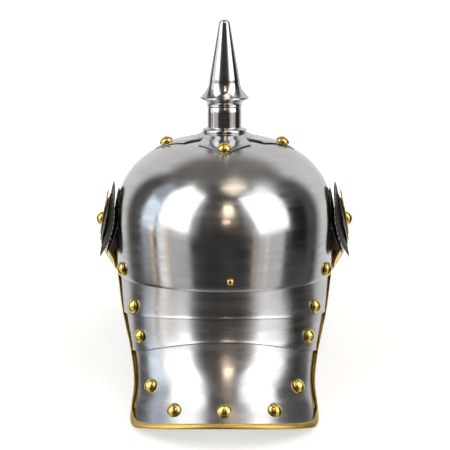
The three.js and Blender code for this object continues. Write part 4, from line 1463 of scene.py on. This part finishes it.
@dataclass(frozen=True)
class Peak:
    """The peak over the brow with its brass edging."""

    form: SkullForm = SkullForm()
    fits: SheetFits = SheetFits()
    half_angle: float = math.radians(60)
    reach: float = 50.0
    drop: float = 31.0
    end_share: float = 0.1
    outline_bend: float = 1.2
    slope_bend: float = 1.15
    columns: int = 121

    def brim(self, turn: Points, reach: Points) -> Points:
        """Gives points of the brim's upper face.

        Args:
            turn: From -1 to 1 across the front.
            reach: From 0 at the rim to 1 at the edge.

        Returns:
            An array of points.
        """
        turn, reach = np.broadcast_arrays(np.asarray(turn, float), np.asarray(reach, float))
        rim = self.form.face(math.pi - turn * self.half_angle, np.full_like(turn, -1.0))
        away = np.stack((
            rim[..., 0] / self.form.rim_half_width**2,
            rim[..., 1] / self.form.rim_half_length**2,
            np.zeros_like(turn),
        ), axis=-1)
        crest = np.clip(np.cos(np.clip(turn, -1, 1) * math.pi / 2), 0, None) ** self.outline_bend
        share = self.end_share + (1 - self.end_share) * crest
        out = self.reach * share * reach - self.fits.nest
        point = rim + unit(away) * out[..., None]
        fall = self.drop * share * np.clip(reach, 0, None) ** self.slope_bend
        point[..., 2] = -self.fits.fit_gap - self.fits.sheet - fall
        return point

    def upward(self, turn: Points, reach: Points) -> Points:
        """Gives the brim's upward directions."""
        step = 1e-3
        across = self.brim(turn + step, reach) - self.brim(turn - step, reach)
        along = self.brim(turn, reach + step) - self.brim(turn, np.maximum(reach - step, 0))
        normal = unit(np.cross(across, along))
        return np.where(normal[..., 2:] < 0, -normal, normal)

    def build(self, kit: Kit) -> None:
        """Makes and dresses the peak and its edging."""
        turn = np.linspace(-1, 1, self.columns)[None, :]
        levels = np.array([self.fits.tuck, 10.0, 6.0, 2.5, 0.8])[:, None]
        angle = math.pi - turn * self.half_angle
        climb = self.form.climb_of_level(levels)
        reach = np.concatenate((
            [0.03, 0.06], np.linspace(0.1, 1, 18)
        ))[:, None]

        def grid(depth: float) -> Points:
            """Gives one face of the flange and the brim."""
            flange = self.form.at(angle, climb, -self.fits.nest - depth)
            brim = self.brim(turn, reach) - self.upward(turn, reach) * depth
            return kit.stance.place(np.concatenate((flange, brim)))

        piece = sheet_object("brim", grid(0.0), grid(self.fits.sheet))
        kit.dress(rounded(piece, 0.28), "steel", "peak")
        run = np.linspace(-1, 1, 161)
        ones = np.ones_like(run)
        trim = edging_object(
            "brim_edging", self.brim(run, ones), self.upward(run, ones),
            self.brim(run * 0.95, ones * 0.5), ones * self.fits.sheet, ones * 3.7, self.fits,
            kit.stance,
        )
        kit.dress(rounded(trim, 0, 60), "edging", "peak_trim")


def dome_profile(radius: float, height: float, shank: float, length: float) -> Points:
    """Draws a slightly pointed rivet head on its shank.

    Args:
        radius: The head's radius.
        height: The head's height.
        shank: The shank's radius.
        length: The shank's length below the head.

    Returns:
        Pairs of radius and height, from the shank's end to the top.
    """
    share = np.linspace(0, 1, 15)[1:]
    radii = radius * (1 - share**2.1) ** (1 / 1.25)
    heights = 0.45 + (height - 0.45) * share
    head = np.stack((np.maximum(radii, 0.12), heights), axis=-1)
    foot = np.array([[shank, -length], [shank, 0.02], [radius - 0.25, 0], [radius, 0.18],
                     [radius, 0.42]])
    return np.concatenate((foot, head))


@dataclass(frozen=True)
class Rivets:
    """All the brass rivets of the skull, the guard, the peak and the plate under the spike."""

    skull: SkullForm = SkullForm()
    guard: GuardForm = GuardForm()
    fits: SheetFits = SheetFits()
    seat: float = 0.6
    radius: float = 6.5
    height: float = 5.2
    shank: float = 1.6
    length: float = 5.2
    small_radius: float = 3.1
    small_height: float = 2.6
    small_shank: float = 1.0
    peak_radius: float = 4.2
    side_angle: float = 68.6
    side_level: float = 9.0
    lame_angle: float = 60.5
    upper_share: float = 0.158
    lower_share: float = 0.322
    rim_level: float = 9.4
    rim_angle: float = -3.0
    peak_level: float = 6.6
    peak_angle: float = 44.0
    cross_reach: float = 53.0
    tail: tuple[tuple[float, float], ...] = (
        (-55.1, 0.66), (-32.2, 0.872), (0, 0.888), (32.2, 0.872), (55.1, 0.66),
    )

    def one(
        self, kit: Kit, name: str, point: Points, outward: Points, size: tuple[float, float, float]
    ) -> None:
        """Makes and dresses one rivet.

        Args:
            kit: The finishes.
            name: The solid that it replaces.
            point: Where its head sits.
            outward: Where it points.
            size: Its head's radius and height and its shank's radius.
        """
        radius, height, shank = size
        profile = dome_profile(radius, height, shank, self.length)
        piece = turned_object(
            f"{name}_head", profile, 56, Carry(kit.stance, point + outward * self.seat, outward)
        )
        kit.dress(rounded(piece, 0, 60), "brass", name)

    def on_guard(self, kit: Kit, name: str, degrees: float, share: float, plate: int) -> None:
        """Sets a full rivet on a plate of the guard."""
        angle, share_at = np.array(math.radians(degrees)), np.array(share)
        outward = self.guard.outward(angle, share_at)
        depth = self.guard.depth_of(plate, share_at)
        point = self.guard.face(angle, share_at) - outward * depth
        self.one(kit, name, point, outward, (self.radius, self.height, self.shank))

    def on_skull(
        self, kit: Kit, name: str, angle: float, climb: float,
        size: tuple[float, float, float], lift: float = 0.0,
    ) -> None:
        """Sets a rivet on the bowl."""
        at = (np.array(angle), np.array(climb))
        outward = self.skull.outward(*at)
        self.one(kit, name, self.skull.face(*at) + outward * lift, outward, size)

    def build(self, kit: Kit) -> None:
        """Makes and dresses all the rivets."""
        full = (self.radius, self.height, self.shank)
        small = (self.small_radius, self.small_height, self.small_shank)
        peak = (self.peak_radius, self.small_height, self.shank)
        climb = self.skull.climb_of_level
        for side, sign in (("left", -1), ("right", 1)):
            angle = sign * math.radians(self.side_angle)
            self.on_skull(kit, f"skull_rivet_{side}", angle, climb(self.side_level), full)
            for name, share, plate in (
                (f"upper_lame_rivet_{side}", self.upper_share, 1),
                (f"lower_lame_rivet_{side}", self.lower_share, 2),
            ):
                self.on_guard(kit, name, sign * self.lame_angle, share, plate)
            front = math.pi - sign * math.radians(self.peak_angle)
            self.on_skull(kit, f"peak_rivet_{side}", front, climb(self.peak_level), peak)
        self.on_skull(kit, "peak_rivet_middle", math.pi, climb(self.peak_level), peak)
        rim = math.radians(self.rim_angle)
        self.on_skull(kit, "rim_rivet", rim, climb(self.rim_level), small)
        for at, (degrees, share) in enumerate(self.tail):
            self.on_guard(kit, f"tail_rivet_{at + 1}", degrees, share, 3)
        spots = {"back": (0, 1), "right": (1, 0), "front": (0, -1), "left": (-1, 0)}
        lift = self.fits.fit_gap + self.fits.sheet
        for where, (x, y) in spots.items():
            angle, at = self.skull.above(x * self.cross_reach, y * self.cross_reach)
            self.on_skull(kit, f"cross_rivet_{where}", float(angle), float(at), full, lift)


@dataclass(frozen=True)
class Rosette:
    """The stack of toothed discs at each side, on its leaning post."""

    skull: SkullForm = SkullForm()
    fits: SheetFits = SheetFits()
    level: float = 48.0
    stand_off: float = 2.1
    lean: float = math.radians(10.5)
    teeth: int = 44
    tooth: float = 1.5
    inner_radius: float = 31.5
    outer_radius: float = 36.0
    disc: float = 0.8
    press: float = 0.006
    free: float = 12.0
    ring_radius: float = 24.0
    washer_radius: float = 20.0
    plate_radius: float = 21.5
    plate_rise: float = 6.5
    thin: float = 0.8
    post: float = 2.5
    leather: float = 1.2
    scale: float = 0.7
    head_radius: float = 6.5
    head_height: float = 6.0

    def bases(self) -> dict[str, float]:
        """Returns where each piece starts on the post."""
        fits = self.fits
        strap = self.disc + fits.strap_gap
        outer = strap + self.leather + fits.strap_gap + self.scale + fits.strap_gap
        ring = outer + self.disc + fits.fit_gap
        washer = ring + self.thin + fits.fit_gap
        plate = washer + self.thin + fits.fit_gap
        return {
            "inner": 0.0, "strap": strap, "outer": outer, "ring": ring,
            "washer": washer, "plate": plate, "rivet": plate + self.thin + fits.fit_gap,
        }

    def seat(self) -> Points:
        """Returns where the post leaves the innermost disc's plane."""
        face = self.skull.face(math.pi / 2, self.skull.climb_of_level(self.level))
        return face + np.array([self.stand_off, 0, 0])

    def carry(self, kit: Kit, mirrored: bool) -> Carry:
        """Returns the way from the rosette's own axes to the table."""
        axis = (math.cos(self.lean), 0, math.sin(self.lean))
        return Carry(kit.stance, self.seat(), axis, mirrored)

    def toothed(
        self, name: str, radius: float, base: float, carry: Carry, thickness: float,
        teeth: int, tooth: float, pleat: float, bent: bool,
    ) -> Piece:
        """Makes a stamped disc with pleats that end in teeth.

        Args:
            name: The object's name.
            radius: Its radius at the teeth's points.
            base: Where it starts on the post.
            carry: The way to the table.
            thickness: Its thickness.
            teeth: How many teeth it has.
            tooth: How deep they are cut.
            pleat: The height of its pleats.
            bent: Whether it follows the bowl's bend.

        Returns:
            The linked object.
        """
        steps = teeth * 8
        angle = np.linspace(0, 2 * math.pi, steps, endpoint=False)[None, :]
        share = np.concatenate((
            [0.0], np.linspace(0.05, 0.9, 16), np.linspace(0.93, 1, 4)
        ))[:, None]
        wave = np.abs((angle * teeth / (2 * math.pi) + 0.5) % 1 - 0.5) * 2
        hole = self.post + self.fits.fit_gap
        full = hole + (radius - hole) * share
        near = smooth(share, 0.86, 1.0)
        reach = full - tooth * (1 - wave) * near
        ridge = pleat * (wave - 0.5) * smooth(share, 0.3, 0.75)
        x, y = reach * np.cos(angle), reach * np.sin(angle)
        bend = self.skull.half_length**2 / self.skull.half_width
        press = self.press * np.clip(y - self.free, 0, None) ** 2
        fall = y**2 / (2 * bend) + press if bent else np.zeros_like(y)
        ring = 0.25 * np.exp(-(((full - radius * 0.6) / 0.8) ** 2))
        low = base - fall + ridge + ring
        thick = thickness * (1 - 0.55 * near)
        outer = np.stack(np.broadcast_arrays(x, y, low + thick), axis=-1)
        inner = np.stack(np.broadcast_arrays(x, y, low), axis=-1)
        return rounded(sheet_object(name, carry(outer), carry(inner), wrap=True), 0, 35)

    def dished(
        self, name: str, radius: float, base: float, carry: Carry, shift: float, rim: float,
    ) -> Piece:
        """Makes a plain disc with a raised rim, centred off the post where shift says so."""
        angle = np.linspace(0, 2 * math.pi, 72, endpoint=False)[None, :]
        share = np.concatenate(([0.0], np.linspace(0.1, 0.86, 10), [0.9, 0.94, 0.97, 0.99, 1.0]))
        share = share[:, None]
        hole = self.post + self.fits.fit_gap
        x = hole * np.cos(angle) * (1 - share) + (radius * np.cos(angle) - shift) * share
        y = hole * np.sin(angle) * (1 - share) + radius * np.sin(angle) * share
        crest = rim * np.exp(-(((share - 0.93) / 0.035) ** 2)) + np.zeros_like(x)
        outer = np.stack((x, y, base + self.thin + crest), axis=-1)
        inner = np.stack((x, y, np.full_like(x, base)), axis=-1)
        return rounded(sheet_object(name, carry(outer), carry(inner), wrap=True), 0.12, 40)

    def build(self, kit: Kit) -> None:
        """Makes and dresses both rosettes."""
        bases = self.bases()
        length = bases["rivet"] + self.stand_off + self.fits.sheet + 2.0
        for side, mirrored in (("right", False), ("left", True)):
            carry = self.carry(kit, mirrored)
            discs = (
                ("inner", self.inner_radius, 0.25), ("outer", self.outer_radius, 0.4),
            )
            for which, radius, pleat in discs:
                piece = self.toothed(
                    f"toothed_disc_{which}_{side}", radius, bases[which], carry, self.disc,
                    self.teeth, self.tooth, pleat, True,
                )
                kit.dress(piece, "black", f"cockade_{which}_{side}")
            ring = self.toothed(
                f"silver_ring_{side}", self.ring_radius, bases["ring"], carry, self.thin,
                36, 1.1, 0.2, False,
            )
            kit.dress(ring, "silver", f"cockade_ring_{side}")
            washer = self.dished(
                f"black_washer_{side}", self.washer_radius, bases["washer"], carry, 0.0, 0.1
            )
            kit.dress(washer, "black", f"cockade_washer_{side}")
            plate = self.dished(
                f"cover_disc_{side}", self.plate_radius, bases["plate"], carry,
                self.plate_rise, 0.35,
            )
            kit.dress(plate, "brass", f"cockade_plate_{side}")
            profile = dome_profile(self.head_radius, self.head_height, self.post, length)
            profile[:, 1] += bases["rivet"]
            rivet = turned_object(f"rosette_head_{side}", profile, 56, carry)
            kit.dress(rounded(rivet, 0, 60), "brass", f"rosette_rivet_{side}")


@dataclass(frozen=True)
class ChinStrap:
    """The leather strap and its brass scales, put up over the front above the peak."""

    skull: SkullForm = SkullForm()
    rosette: Rosette = Rosette()
    fits: SheetFits = SheetFits()
    start_level: float = 48.0
    front_level: float = 25.0
    fall: float = 4.0
    dip: float = 14.0
    dip_end: float = 0.36
    front_off: float = 1.2
    end: float = -0.06
    spread_from: float = 0.24
    spread_to: float = 0.34
    leather: float = 1.2
    leather_half_width: float = 9.0
    scales: int = 10
    start_half_width: float = 25.0
    front_half_width: float = 11.0
    sheet: float = 0.7
    lift: float = 1.5
    crown: float = 1.6
    curl: float = 12.0
    curl_from: float = 16.0
    curl_to: float = 42.0
    clasp_length: float = 12.0
    clasp_gap: float = 0.5
    clasp_half_height: float = 9.0
    clasp_thickness: float = 2.0

    def spread(self, along: Points) -> Points:
        """Tells how far the strap has come out from between the discs, from 0 to 1."""
        return smooth(along, self.spread_from, self.spread_to)

    def path(self, along: Points) -> tuple[Points, Points, Points]:
        """Follows the strap.

        Args:
            along: From 0 at the rosette to 1 at the middle of the front.

        Returns:
            The angle, the climb and the distance off the bowl.
        """
        along = np.asarray(along, float)
        angle = math.pi / 2 + along * math.pi / 2
        wave = np.sin(math.pi * np.clip(along / self.dip_end, 0, 1))
        drop = (self.start_level - self.front_level) * (1 - along) ** self.fall
        level = self.front_level + drop - self.dip * wave**2
        climb = self.skull.climb_of_level(level)
        lean_out = (self.start_level - level) * math.tan(self.rosette.lean)
        tuck_in = self.skull.half_width - self.skull.face(math.pi / 2, climb)[..., 0]
        start = self.rosette.stand_off + self.rosette.bases()["strap"] + lean_out + tuck_in
        off = self.front_off + (start - self.front_off) * (1 - self.spread(along))
        return angle, climb, off

    def point(self, along: Points) -> Points:
        """Gives points of the strap's back."""
        angle, climb, off = self.path(along)
        return self.skull.at(angle, climb, off)

    def frame(self, along: Points) -> tuple[Points, Points, Points]:
        """Gives the strap's place and directions.

        Args:
            along: From 0 at the rosette to 1 at the middle of the front.

        Returns:
            Its points, its outward directions and its upward directions.
        """
        along = np.asarray(along, float)
        angle, climb, _ = self.path(along)
        outward = self.skull.outward(angle, climb)
        share = self.spread(along)
        outward[..., 2] = math.tan(self.rosette.lean) * (1 - share) + outward[..., 2] * share
        outward = unit(outward)
        ahead = unit(self.point(along + 1e-3) - self.point(along - 1e-3))
        up = unit(np.cross(outward, ahead))
        up = np.where(up[..., 2:] < 0, -up, up)
        return self.point(along), outward, up

    def ends(self) -> Points:
        """Returns where each scale of one side starts and ends."""
        round_front = math.pi / 2 * self.skull.half_width
        last = 1 - (self.clasp_length / 2 + self.clasp_gap) / round_front
        return np.linspace(self.end, last, self.scales + 1)

    def band(self, kit: Kit) -> Piece:
        """Makes the leather band from rosette to rosette."""
        along = np.linspace(self.end, 1, 110)
        point, outward, up = self.frame(along)
        half, thick, curve = self.leather_half_width, self.leather, 0.3
        section = np.array([
            (-half, curve), (-half + curve, 0), (half - curve, 0), (half, curve),
            (half, thick - curve), (half - curve, thick), (-half + curve, thick),
            (-half, thick - curve),
        ])
        sections = (
            point[:, None] + section[None, :, :1] * up[:, None]
            + section[None, :, 1:] * outward[:, None]
        )
        other = sections[-2::-1] * np.array([-1, 1, 1])
        return rounded(
            swept_object("strap_leather", kit.stance.place(np.concatenate((sections, other)))),
            0, 50,
        )

    def scale_row(self, kit: Kit, side: str, mirrored: bool) -> Piece:
        """Makes one side's scales, each lying over the start of the next.

        Args:
            kit: The finishes.
            side: Which side it is.
            mirrored: Whether it is the mirror image.

        Returns:
            The linked object.
        """
        ends = self.ends()
        across = np.linspace(-1, 1, 25)[None, :]
        within = np.concatenate((np.linspace(0, 0.8, 7), np.linspace(0.84, 1, 7)))[:, None]
        points, faces, used = [], [], 0
        seat = self.rosette.seat()
        for start, end in zip(ends[:-1], ends[1:]):
            step = end - start
            round_end = 0.16 * step * (1 - across**2) - 0.06 * step
            under = 0.12 * step
            along = start - under + (step + under + round_end) * within
            along = np.clip(along, self.end, ends[-1] + 0.001)
            place, outward, up = self.frame(along)
            taper = np.clip(start, 0, None)
            half = self.start_half_width + (self.front_half_width - self.start_half_width) * taper
            spread = self.spread(along)
            rest = 0.25 + 0.75 * spread
            bead = 0.3 * np.exp(-(((within - 0.88) / 0.05) ** 2)) * rest
            crown = self.crown * (1 - across**2) * spread
            rise = self.lift * within * spread + crown + bead
            base = self.leather + self.fits.strap_gap + rise
            sides = place + up * (half * across)[..., None]
            clear = np.linalg.norm(sides - seat, axis=-1)
            base = base - self.curl * smooth(clear, self.curl_from, self.curl_to) * (
                np.clip(-2 * across - 1, 0, None) * (1 - spread)
            )
            for height in (self.sheet, 0.0):
                points.append((sides + outward * (base + height)[..., None]).reshape(-1, 3))
            rows, columns = base.shape
            index = np.arange(rows * columns).reshape(rows, columns) + used
            back = index + rows * columns
            faces += grid_faces(index) + grid_faces(back)
            for a, b in ((index[0], back[0]), (index[-1], back[-1]),
                         (index[:, 0], back[:, 0]), (index[:, -1], back[:, -1])):
                faces += strip(a, b)
            used += 2 * rows * columns
        body = np.concatenate(points)
        if mirrored:
            body = body * np.array([-1, 1, 1])
        return rounded(link(f"scales_{side}", kit.stance.place(body), faces), 0.1, 45)

    def clasp(self, kit: Kit) -> Piece:
        """Makes the clasp: a crowned plate with a raised border and a stud."""
        point, outward, _ = self.frame(np.array(1.0))
        origin = point + outward * (self.leather + 2 * self.fits.fit_gap)
        carry = Carry(kit.stance, origin, outward)
        angle = np.linspace(0, 2 * math.pi, 96, endpoint=False)[None, :]
        share = np.concatenate((
            np.linspace(0, 0.8, 13)[1:], [0.84, 0.88, 0.92, 0.96, 0.985, 1.0]
        ))[::-1, None]
        squareness = 0.45
        x = np.sign(np.cos(angle)) * np.abs(np.cos(angle)) ** squareness
        y = np.sign(np.sin(angle)) * np.abs(np.sin(angle)) ** squareness
        grid_x, grid_y = share * x * self.clasp_length / 2, share * y * self.clasp_half_height
        away = np.hypot(grid_x, grid_y)
        border = 0.4 * np.exp(-(((share - 0.92) / 0.05) ** 2))
        stud = 1.0 * np.sqrt(np.clip(1 - (away / 3.0) ** 2, 0, 1))
        top = 1.0 + border + stud - 0.25 * smooth(share, 0.95, 1.0)
        outer = np.stack(np.broadcast_arrays(grid_x, grid_y, top), axis=-1)
        inner = np.stack(np.broadcast_arrays(grid_x, grid_y, 0.0 * top), axis=-1)
        poles = np.array([[0, 0, self.clasp_thickness], [0, 0, 0]], float)
        return rounded(
            sheet_object("clasp_plate", carry(outer), carry(inner), wrap=True, poles=carry(poles)),
            0.1, 45,
        )

    def build(self, kit: Kit) -> None:
        """Makes and dresses the strap."""
        kit.dress(self.band(kit), "leather", "chin_strap")
        kit.dress(self.scale_row(kit, "right", False), "brass", "chin_scales_right")
        kit.dress(self.scale_row(kit, "left", True), "brass", "chin_scales_left")
        kit.dress(self.clasp(kit), "brass", "chin_clasp")


# The studio


@dataclass(frozen=True)
class SoftLight:
    """One soft light, placed by the direction that it shines from."""

    name: str
    azimuth: float
    elevation: float
    distance: float
    width: float
    height: float
    radiance: float
    colour: Colour = (1.0, 1.0, 1.0)

    def build(self, stance: Stance, centre: Vector) -> None:
        """Hangs the light.

        Args:
            stance: How the helmet stands, which the directions follow.
            centre: Where the light points.
        """
        data = bpy.data.lights.new(self.name, "AREA")
        data.shape = "RECTANGLE"
        data.size, data.size_y = self.width, self.height
        data.color = self.colour
        area = self.width * self.height
        data.energy = self.radiance * math.pi * area
        lamp = bpy.data.objects.new(self.name, data)
        bpy.context.scene.collection.objects.link(lamp)
        away = stance.direction(self.azimuth, self.elevation)
        lamp.location = centre + away * self.distance
        lamp.rotation_euler = away.to_track_quat("Z", "Y").to_euler()
        lamp.visible_camera = False


class SoftWindow(Effect):
    """A bright or dark patch of the studio: a range of directions with soft edges, in degrees."""

    title = "soft window"
    takes = (
        ("Azimuth", Socket.VALUE, 0),
        ("Elevation", Socket.VALUE, 0),
        ("West", Socket.VALUE, -10),
        ("East", Socket.VALUE, 10),
        ("Low", Socket.VALUE, -10),
        ("High", Socket.VALUE, 10),
        ("West Slant", Socket.VALUE, 0),
        ("East Slant", Socket.VALUE, 0),
        ("Soft", Socket.VALUE, 3),
    )
    gives = (("Mask", Socket.VALUE),)

    def fill(self, entry: Wires, leave: Node) -> None:
        """Multiplies a soft edge for each of the four sides."""
        tree = self.tree
        climb = calc(tree, "SUBTRACT", entry["Elevation"], entry["Low"])
        sides = []
        for value, edge, slant, outward in (
            ("Azimuth", "West", "West Slant", -1), ("Azimuth", "East", "East Slant", 1),
            ("Elevation", "Low", None, -1), ("Elevation", "High", None, 1),
        ):
            at = entry[edge]
            if slant:
                at = calc(tree, "MULTIPLY_ADD", climb.outputs[0], entry[slant], at).outputs[0]
            beyond = calc(tree, "MULTIPLY_ADD", entry["Soft"], float(outward), at)
            within = calc(tree, "MULTIPLY_ADD", entry["Soft"], -float(outward), at)
            sides.append(node(tree, "MapRange", {
                "Value": entry[value], "From Min": beyond.outputs[0],
                "From Max": within.outputs[0],
            }, interpolation_type="SMOOTHSTEP").outputs[0])
        total = sides[0]
        for side in sides[1:]:
            total = calc(tree, "MULTIPLY", total, side).outputs[0]
        self.give("Mask", total, leave)


@dataclass(frozen=True)
class Patch:
    """One patch of the studio as the helmet sees it, in degrees round and above it."""

    name: str
    west: float
    east: float
    low: float
    high: float
    radiance: float
    colour: Colour = (1.0, 1.0, 1.0)
    soft: float = 2.5
    west_slant: float = 0.0
    east_slant: float = 0.0


WARM: Colour = (1.0, 0.7, 0.45)
COOL: Colour = (0.76, 0.87, 1.0)
LAMP: Colour = (1.0, 0.8, 0.6)
EARTH: Colour = (1.0, 0.93, 0.85)

BRIGHT_PATCHES = (
    Patch("left softbox", -84, -45, 9, 69, 2.1, soft=2.5, west_slant=-0.24),
    Patch("left softbox glow", -60, -36, 5, 66, 0.5, soft=8),
    Patch("left window", -108, -86, 1, 32, 1.45, COOL, 2.0),
    Patch("left window above", -112, -92, 32, 54, 0.5, COOL, 4.0),
    Patch("left wall", -108, -96, -20, 1, 0.45, COOL, 3.0),
    Patch("left warm strip", -96, -91, -24, 6, 0.9, WARM, 1.5),
    Patch("left white strip", -86, -75, -34, 9, 1.15, soft=2.0),
    Patch("left warm edge", -74.5, -71.5, -34, 9, 1.0, WARM, 1.0),
    Patch("left table", -71, -44, -50, 9, 0.55, soft=4),
    Patch("right softbox", 44, 82, 6, 67, 2.1, soft=2.5, west_slant=-0.2, east_slant=0.16),
    Patch("right softbox glow", 28, 50, 8, 64, 0.4, soft=8),
    Patch("right softbox end", 86, 112, 54, 67, 0.55, soft=5),
    Patch("right table", 41, 76, -50, 6, 0.62, soft=4),
    Patch("right warm strip", 36.5, 39, -32, 16, 1.0, WARM, 1.0),
    Patch("right warm edge", 53.5, 55, -32, 4, 0.8, WARM, 1.0),
    Patch("far lamp", -1, 14, 42, 58, 3.2, LAMP, 1.0),
    Patch("near lamp", -2, 8, 29, 35, 2.0, LAMP, 1.0),
    Patch("lamp glow", -4, 18, 26, 58, 0.25, WARM, 6.0),
    Patch("backdrop on the right", 126, 190, -95, 50, 0.74, soft=7),
    Patch("backdrop on the left", -190, -133, -95, 50, 0.74, soft=7),
    Patch("table below", -190, 190, -95, -42, 0.5, soft=8),
    Patch("ceiling behind", 95, 190, 48, 95, 0.1, EARTH, 8.0),
    Patch("ceiling behind on the left", -190, -95, 48, 95, 0.1, EARTH, 8.0),
)
DARK_PATCHES = (
    Patch("left frame", -89.5, -86.5, -14, 33, 0.7, soft=1.2),
    Patch("right doorway", 85, 108, -14, 30, 0.85, soft=4),
    Patch("lower front", -40, 34, -60, 22, 0.45, soft=9),
)


@dataclass(frozen=True)
class Studio:
    """The pale floor, the soft surround, the light overhead and the camera."""

    stance: Stance = Stance()
    target: tuple[float, float, float] = (0.0, 0.0, 43.5)
    distance: float = 2400.0
    elevation: float = 8.0
    millimetres_per_pixel: float = 0.93
    image_width: float = 450.0
    sensor: float = 36.0
    centre_pixel: tuple[float, float] = (224.5, 225.0)
    room: float = 0.1
    lights: tuple[SoftLight, ...] = (
        SoftLight("warm lamp overhead", 40, 79, 1.2, 0.3, 0.34, 2.0, (1.0, 0.87, 0.68)),
    )

    def surround(self) -> None:
        """Makes the surround out of its bright and dark patches; the camera sees white."""
        world = bpy.data.worlds.new("studio surround")
        bpy.context.scene.world = world
        world.use_nodes = True
        tree = world.node_tree
        tree.nodes.clear()
        seen = node(tree, "TexCoord")
        own = node(
            tree, "VectorRotate",
            {"Vector": seen.outputs["Generated"], "Angle": -self.stance.lean},
            rotation_type="X_AXIS",
        )
        parts = node(tree, "SeparateXYZ", {0: own.outputs[0]})
        left = calc(tree, "MULTIPLY", parts.outputs[0], -1.0)
        turn = calc(tree, "ARCTAN2", left.outputs[0], parts.outputs[1])
        climb = calc(tree, "ARCSINE", parts.outputs[2])
        azimuth = calc(tree, "DEGREES", turn.outputs[0]).outputs[0]
        elevation = calc(tree, "DEGREES", climb.outputs[0]).outputs[0]
        window = SoftWindow()

        def mask(patch: Patch) -> Wire:
            """Places the soft window of one patch."""
            return window.use(
                tree, Azimuth=azimuth, Elevation=elevation, West=patch.west, East=patch.east,
                Low=patch.low, High=patch.high, Soft=patch.soft, West_Slant=patch.west_slant,
                East_Slant=patch.east_slant,
            ).outputs["Mask"]

        def scaled(
            amount: Wire, colour: Colour, strength: float
        ) -> Wire:
            """Gives a colour times an amount."""
            made = node(tree, "VectorMath", {
                0: tuple(part * strength for part in colour), "Scale": amount,
            }, operation="SCALE")
            return made.outputs[0]

        noise = node(tree, "TexNoise", {
            "Vector": own.outputs[0], "Scale": 2.2, "Detail": 2.0, "Roughness": 0.5,
        })
        uneven = node(tree, "MapRange", {
            "Value": noise.outputs["Fac"], "From Min": 0.3, "From Max": 0.7, "To Min": 0.6,
            "To Max": 1.4,
        })
        total = scaled(uneven.outputs[0], EARTH, self.room)
        for patch in BRIGHT_PATCHES:
            light = scaled(mask(patch), patch.colour, patch.radiance)
            total = node(tree, "VectorMath", {0: total, 1: light}, operation="ADD").outputs[0]
        for patch in DARK_PATCHES:
            left_over = node(tree, "MapRange", {
                "Value": mask(patch), "To Min": 1.0, "To Max": 1.0 - patch.radiance,
            })
            total = node(tree, "VectorMath", {0: total, "Scale": left_over.outputs[0]},
                         operation="SCALE").outputs[0]
        path = node(tree, "LightPath")
        shown = mixed(tree, path.outputs["Is Camera Ray"], total, (0.97, 0.97, 0.965))
        glow = node(tree, "Background", {"Color": shown, "Strength": 1.0})
        node(tree, "OutputWorld", {"Surface": glow.outputs[0]})

    def floor(self) -> None:
        """Lays the pale floor, left out of reflections, where the surround's own table shows."""
        size = 9.0
        edge = np.array([[-size, -size, 0], [size, -size, 0], [size, size, 0], [-size, size, 0]])
        ground = link("floor", edge, [(0, 1, 2, 3)])
        ground.visible_glossy = False
        made = bpy.data.materials.new("pale floor")
        made.use_nodes = True
        tree = made.node_tree
        tree.nodes.clear()
        path = node(tree, "LightPath")
        cloth = node(tree, "BsdfDiffuse", {"Color": (0.86, 0.86, 0.855, 1.0)})
        lift = node(tree, "Emission", {"Color": (1, 1, 1, 1), "Strength": 0.5})
        both = node(tree, "AddShader", {0: cloth.outputs[0], 1: lift.outputs[0]})
        choice = node(tree, "MixShader", {
            0: path.outputs["Is Camera Ray"], 1: cloth.outputs[0], 2: both.outputs[0],
        })
        node(tree, "OutputMaterial", {"Surface": choice.outputs[0]})
        ground.data.materials.append(made)

    def camera(self) -> None:
        """Sets the camera at the photograph's angle to the helmet."""
        turn = self.stance.matrix()
        target = turn @ Vector(self.target)
        climb = math.radians(self.elevation)
        away = Vector((0, math.cos(climb), math.sin(climb)))
        eye = turn @ (Vector(self.target) + away * self.distance)
        data = bpy.data.cameras.new("camera")
        data.sensor_width = self.sensor
        focal = self.distance / self.millimetres_per_pixel
        data.lens = focal * self.sensor / self.image_width
        data.clip_end = 50.0
        half = self.image_width / 2
        data.shift_x = (half - self.centre_pixel[0]) / self.image_width
        data.shift_y = (self.centre_pixel[1] - half) / self.image_width
        held = bpy.data.objects.new("camera", data)
        bpy.context.scene.collection.objects.link(held)
        held.location = eye
        held.rotation_euler = (target - eye).to_track_quat("-Z", "Y").to_euler()
        bpy.context.scene.camera = held

    def build(self) -> None:
        """Sets the whole studio."""
        self.camera()
        self.surround()
        self.floor()
        centre = self.stance.matrix() @ Vector(self.target)
        for light in self.lights:
            light.build(self.stance, centre)
        bpy.context.scene.view_settings.view_transform = "Standard"


def main() -> None:
    """Builds the helmet's sub-assemblies in order."""
    logging.basicConfig(level=logging.INFO, format="%(name)s: %(message)s")
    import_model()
    stance = Stance()
    Studio(stance).build()
    kit = Kit(stance)
    for part in (
        Skull(), CrossPlate(), Spike(), NeckGuard(), Peak(), Rivets(), Rosette(), ChinStrap(),
    ):
        part.build(kit)


if __name__ == "__main__":
    main()
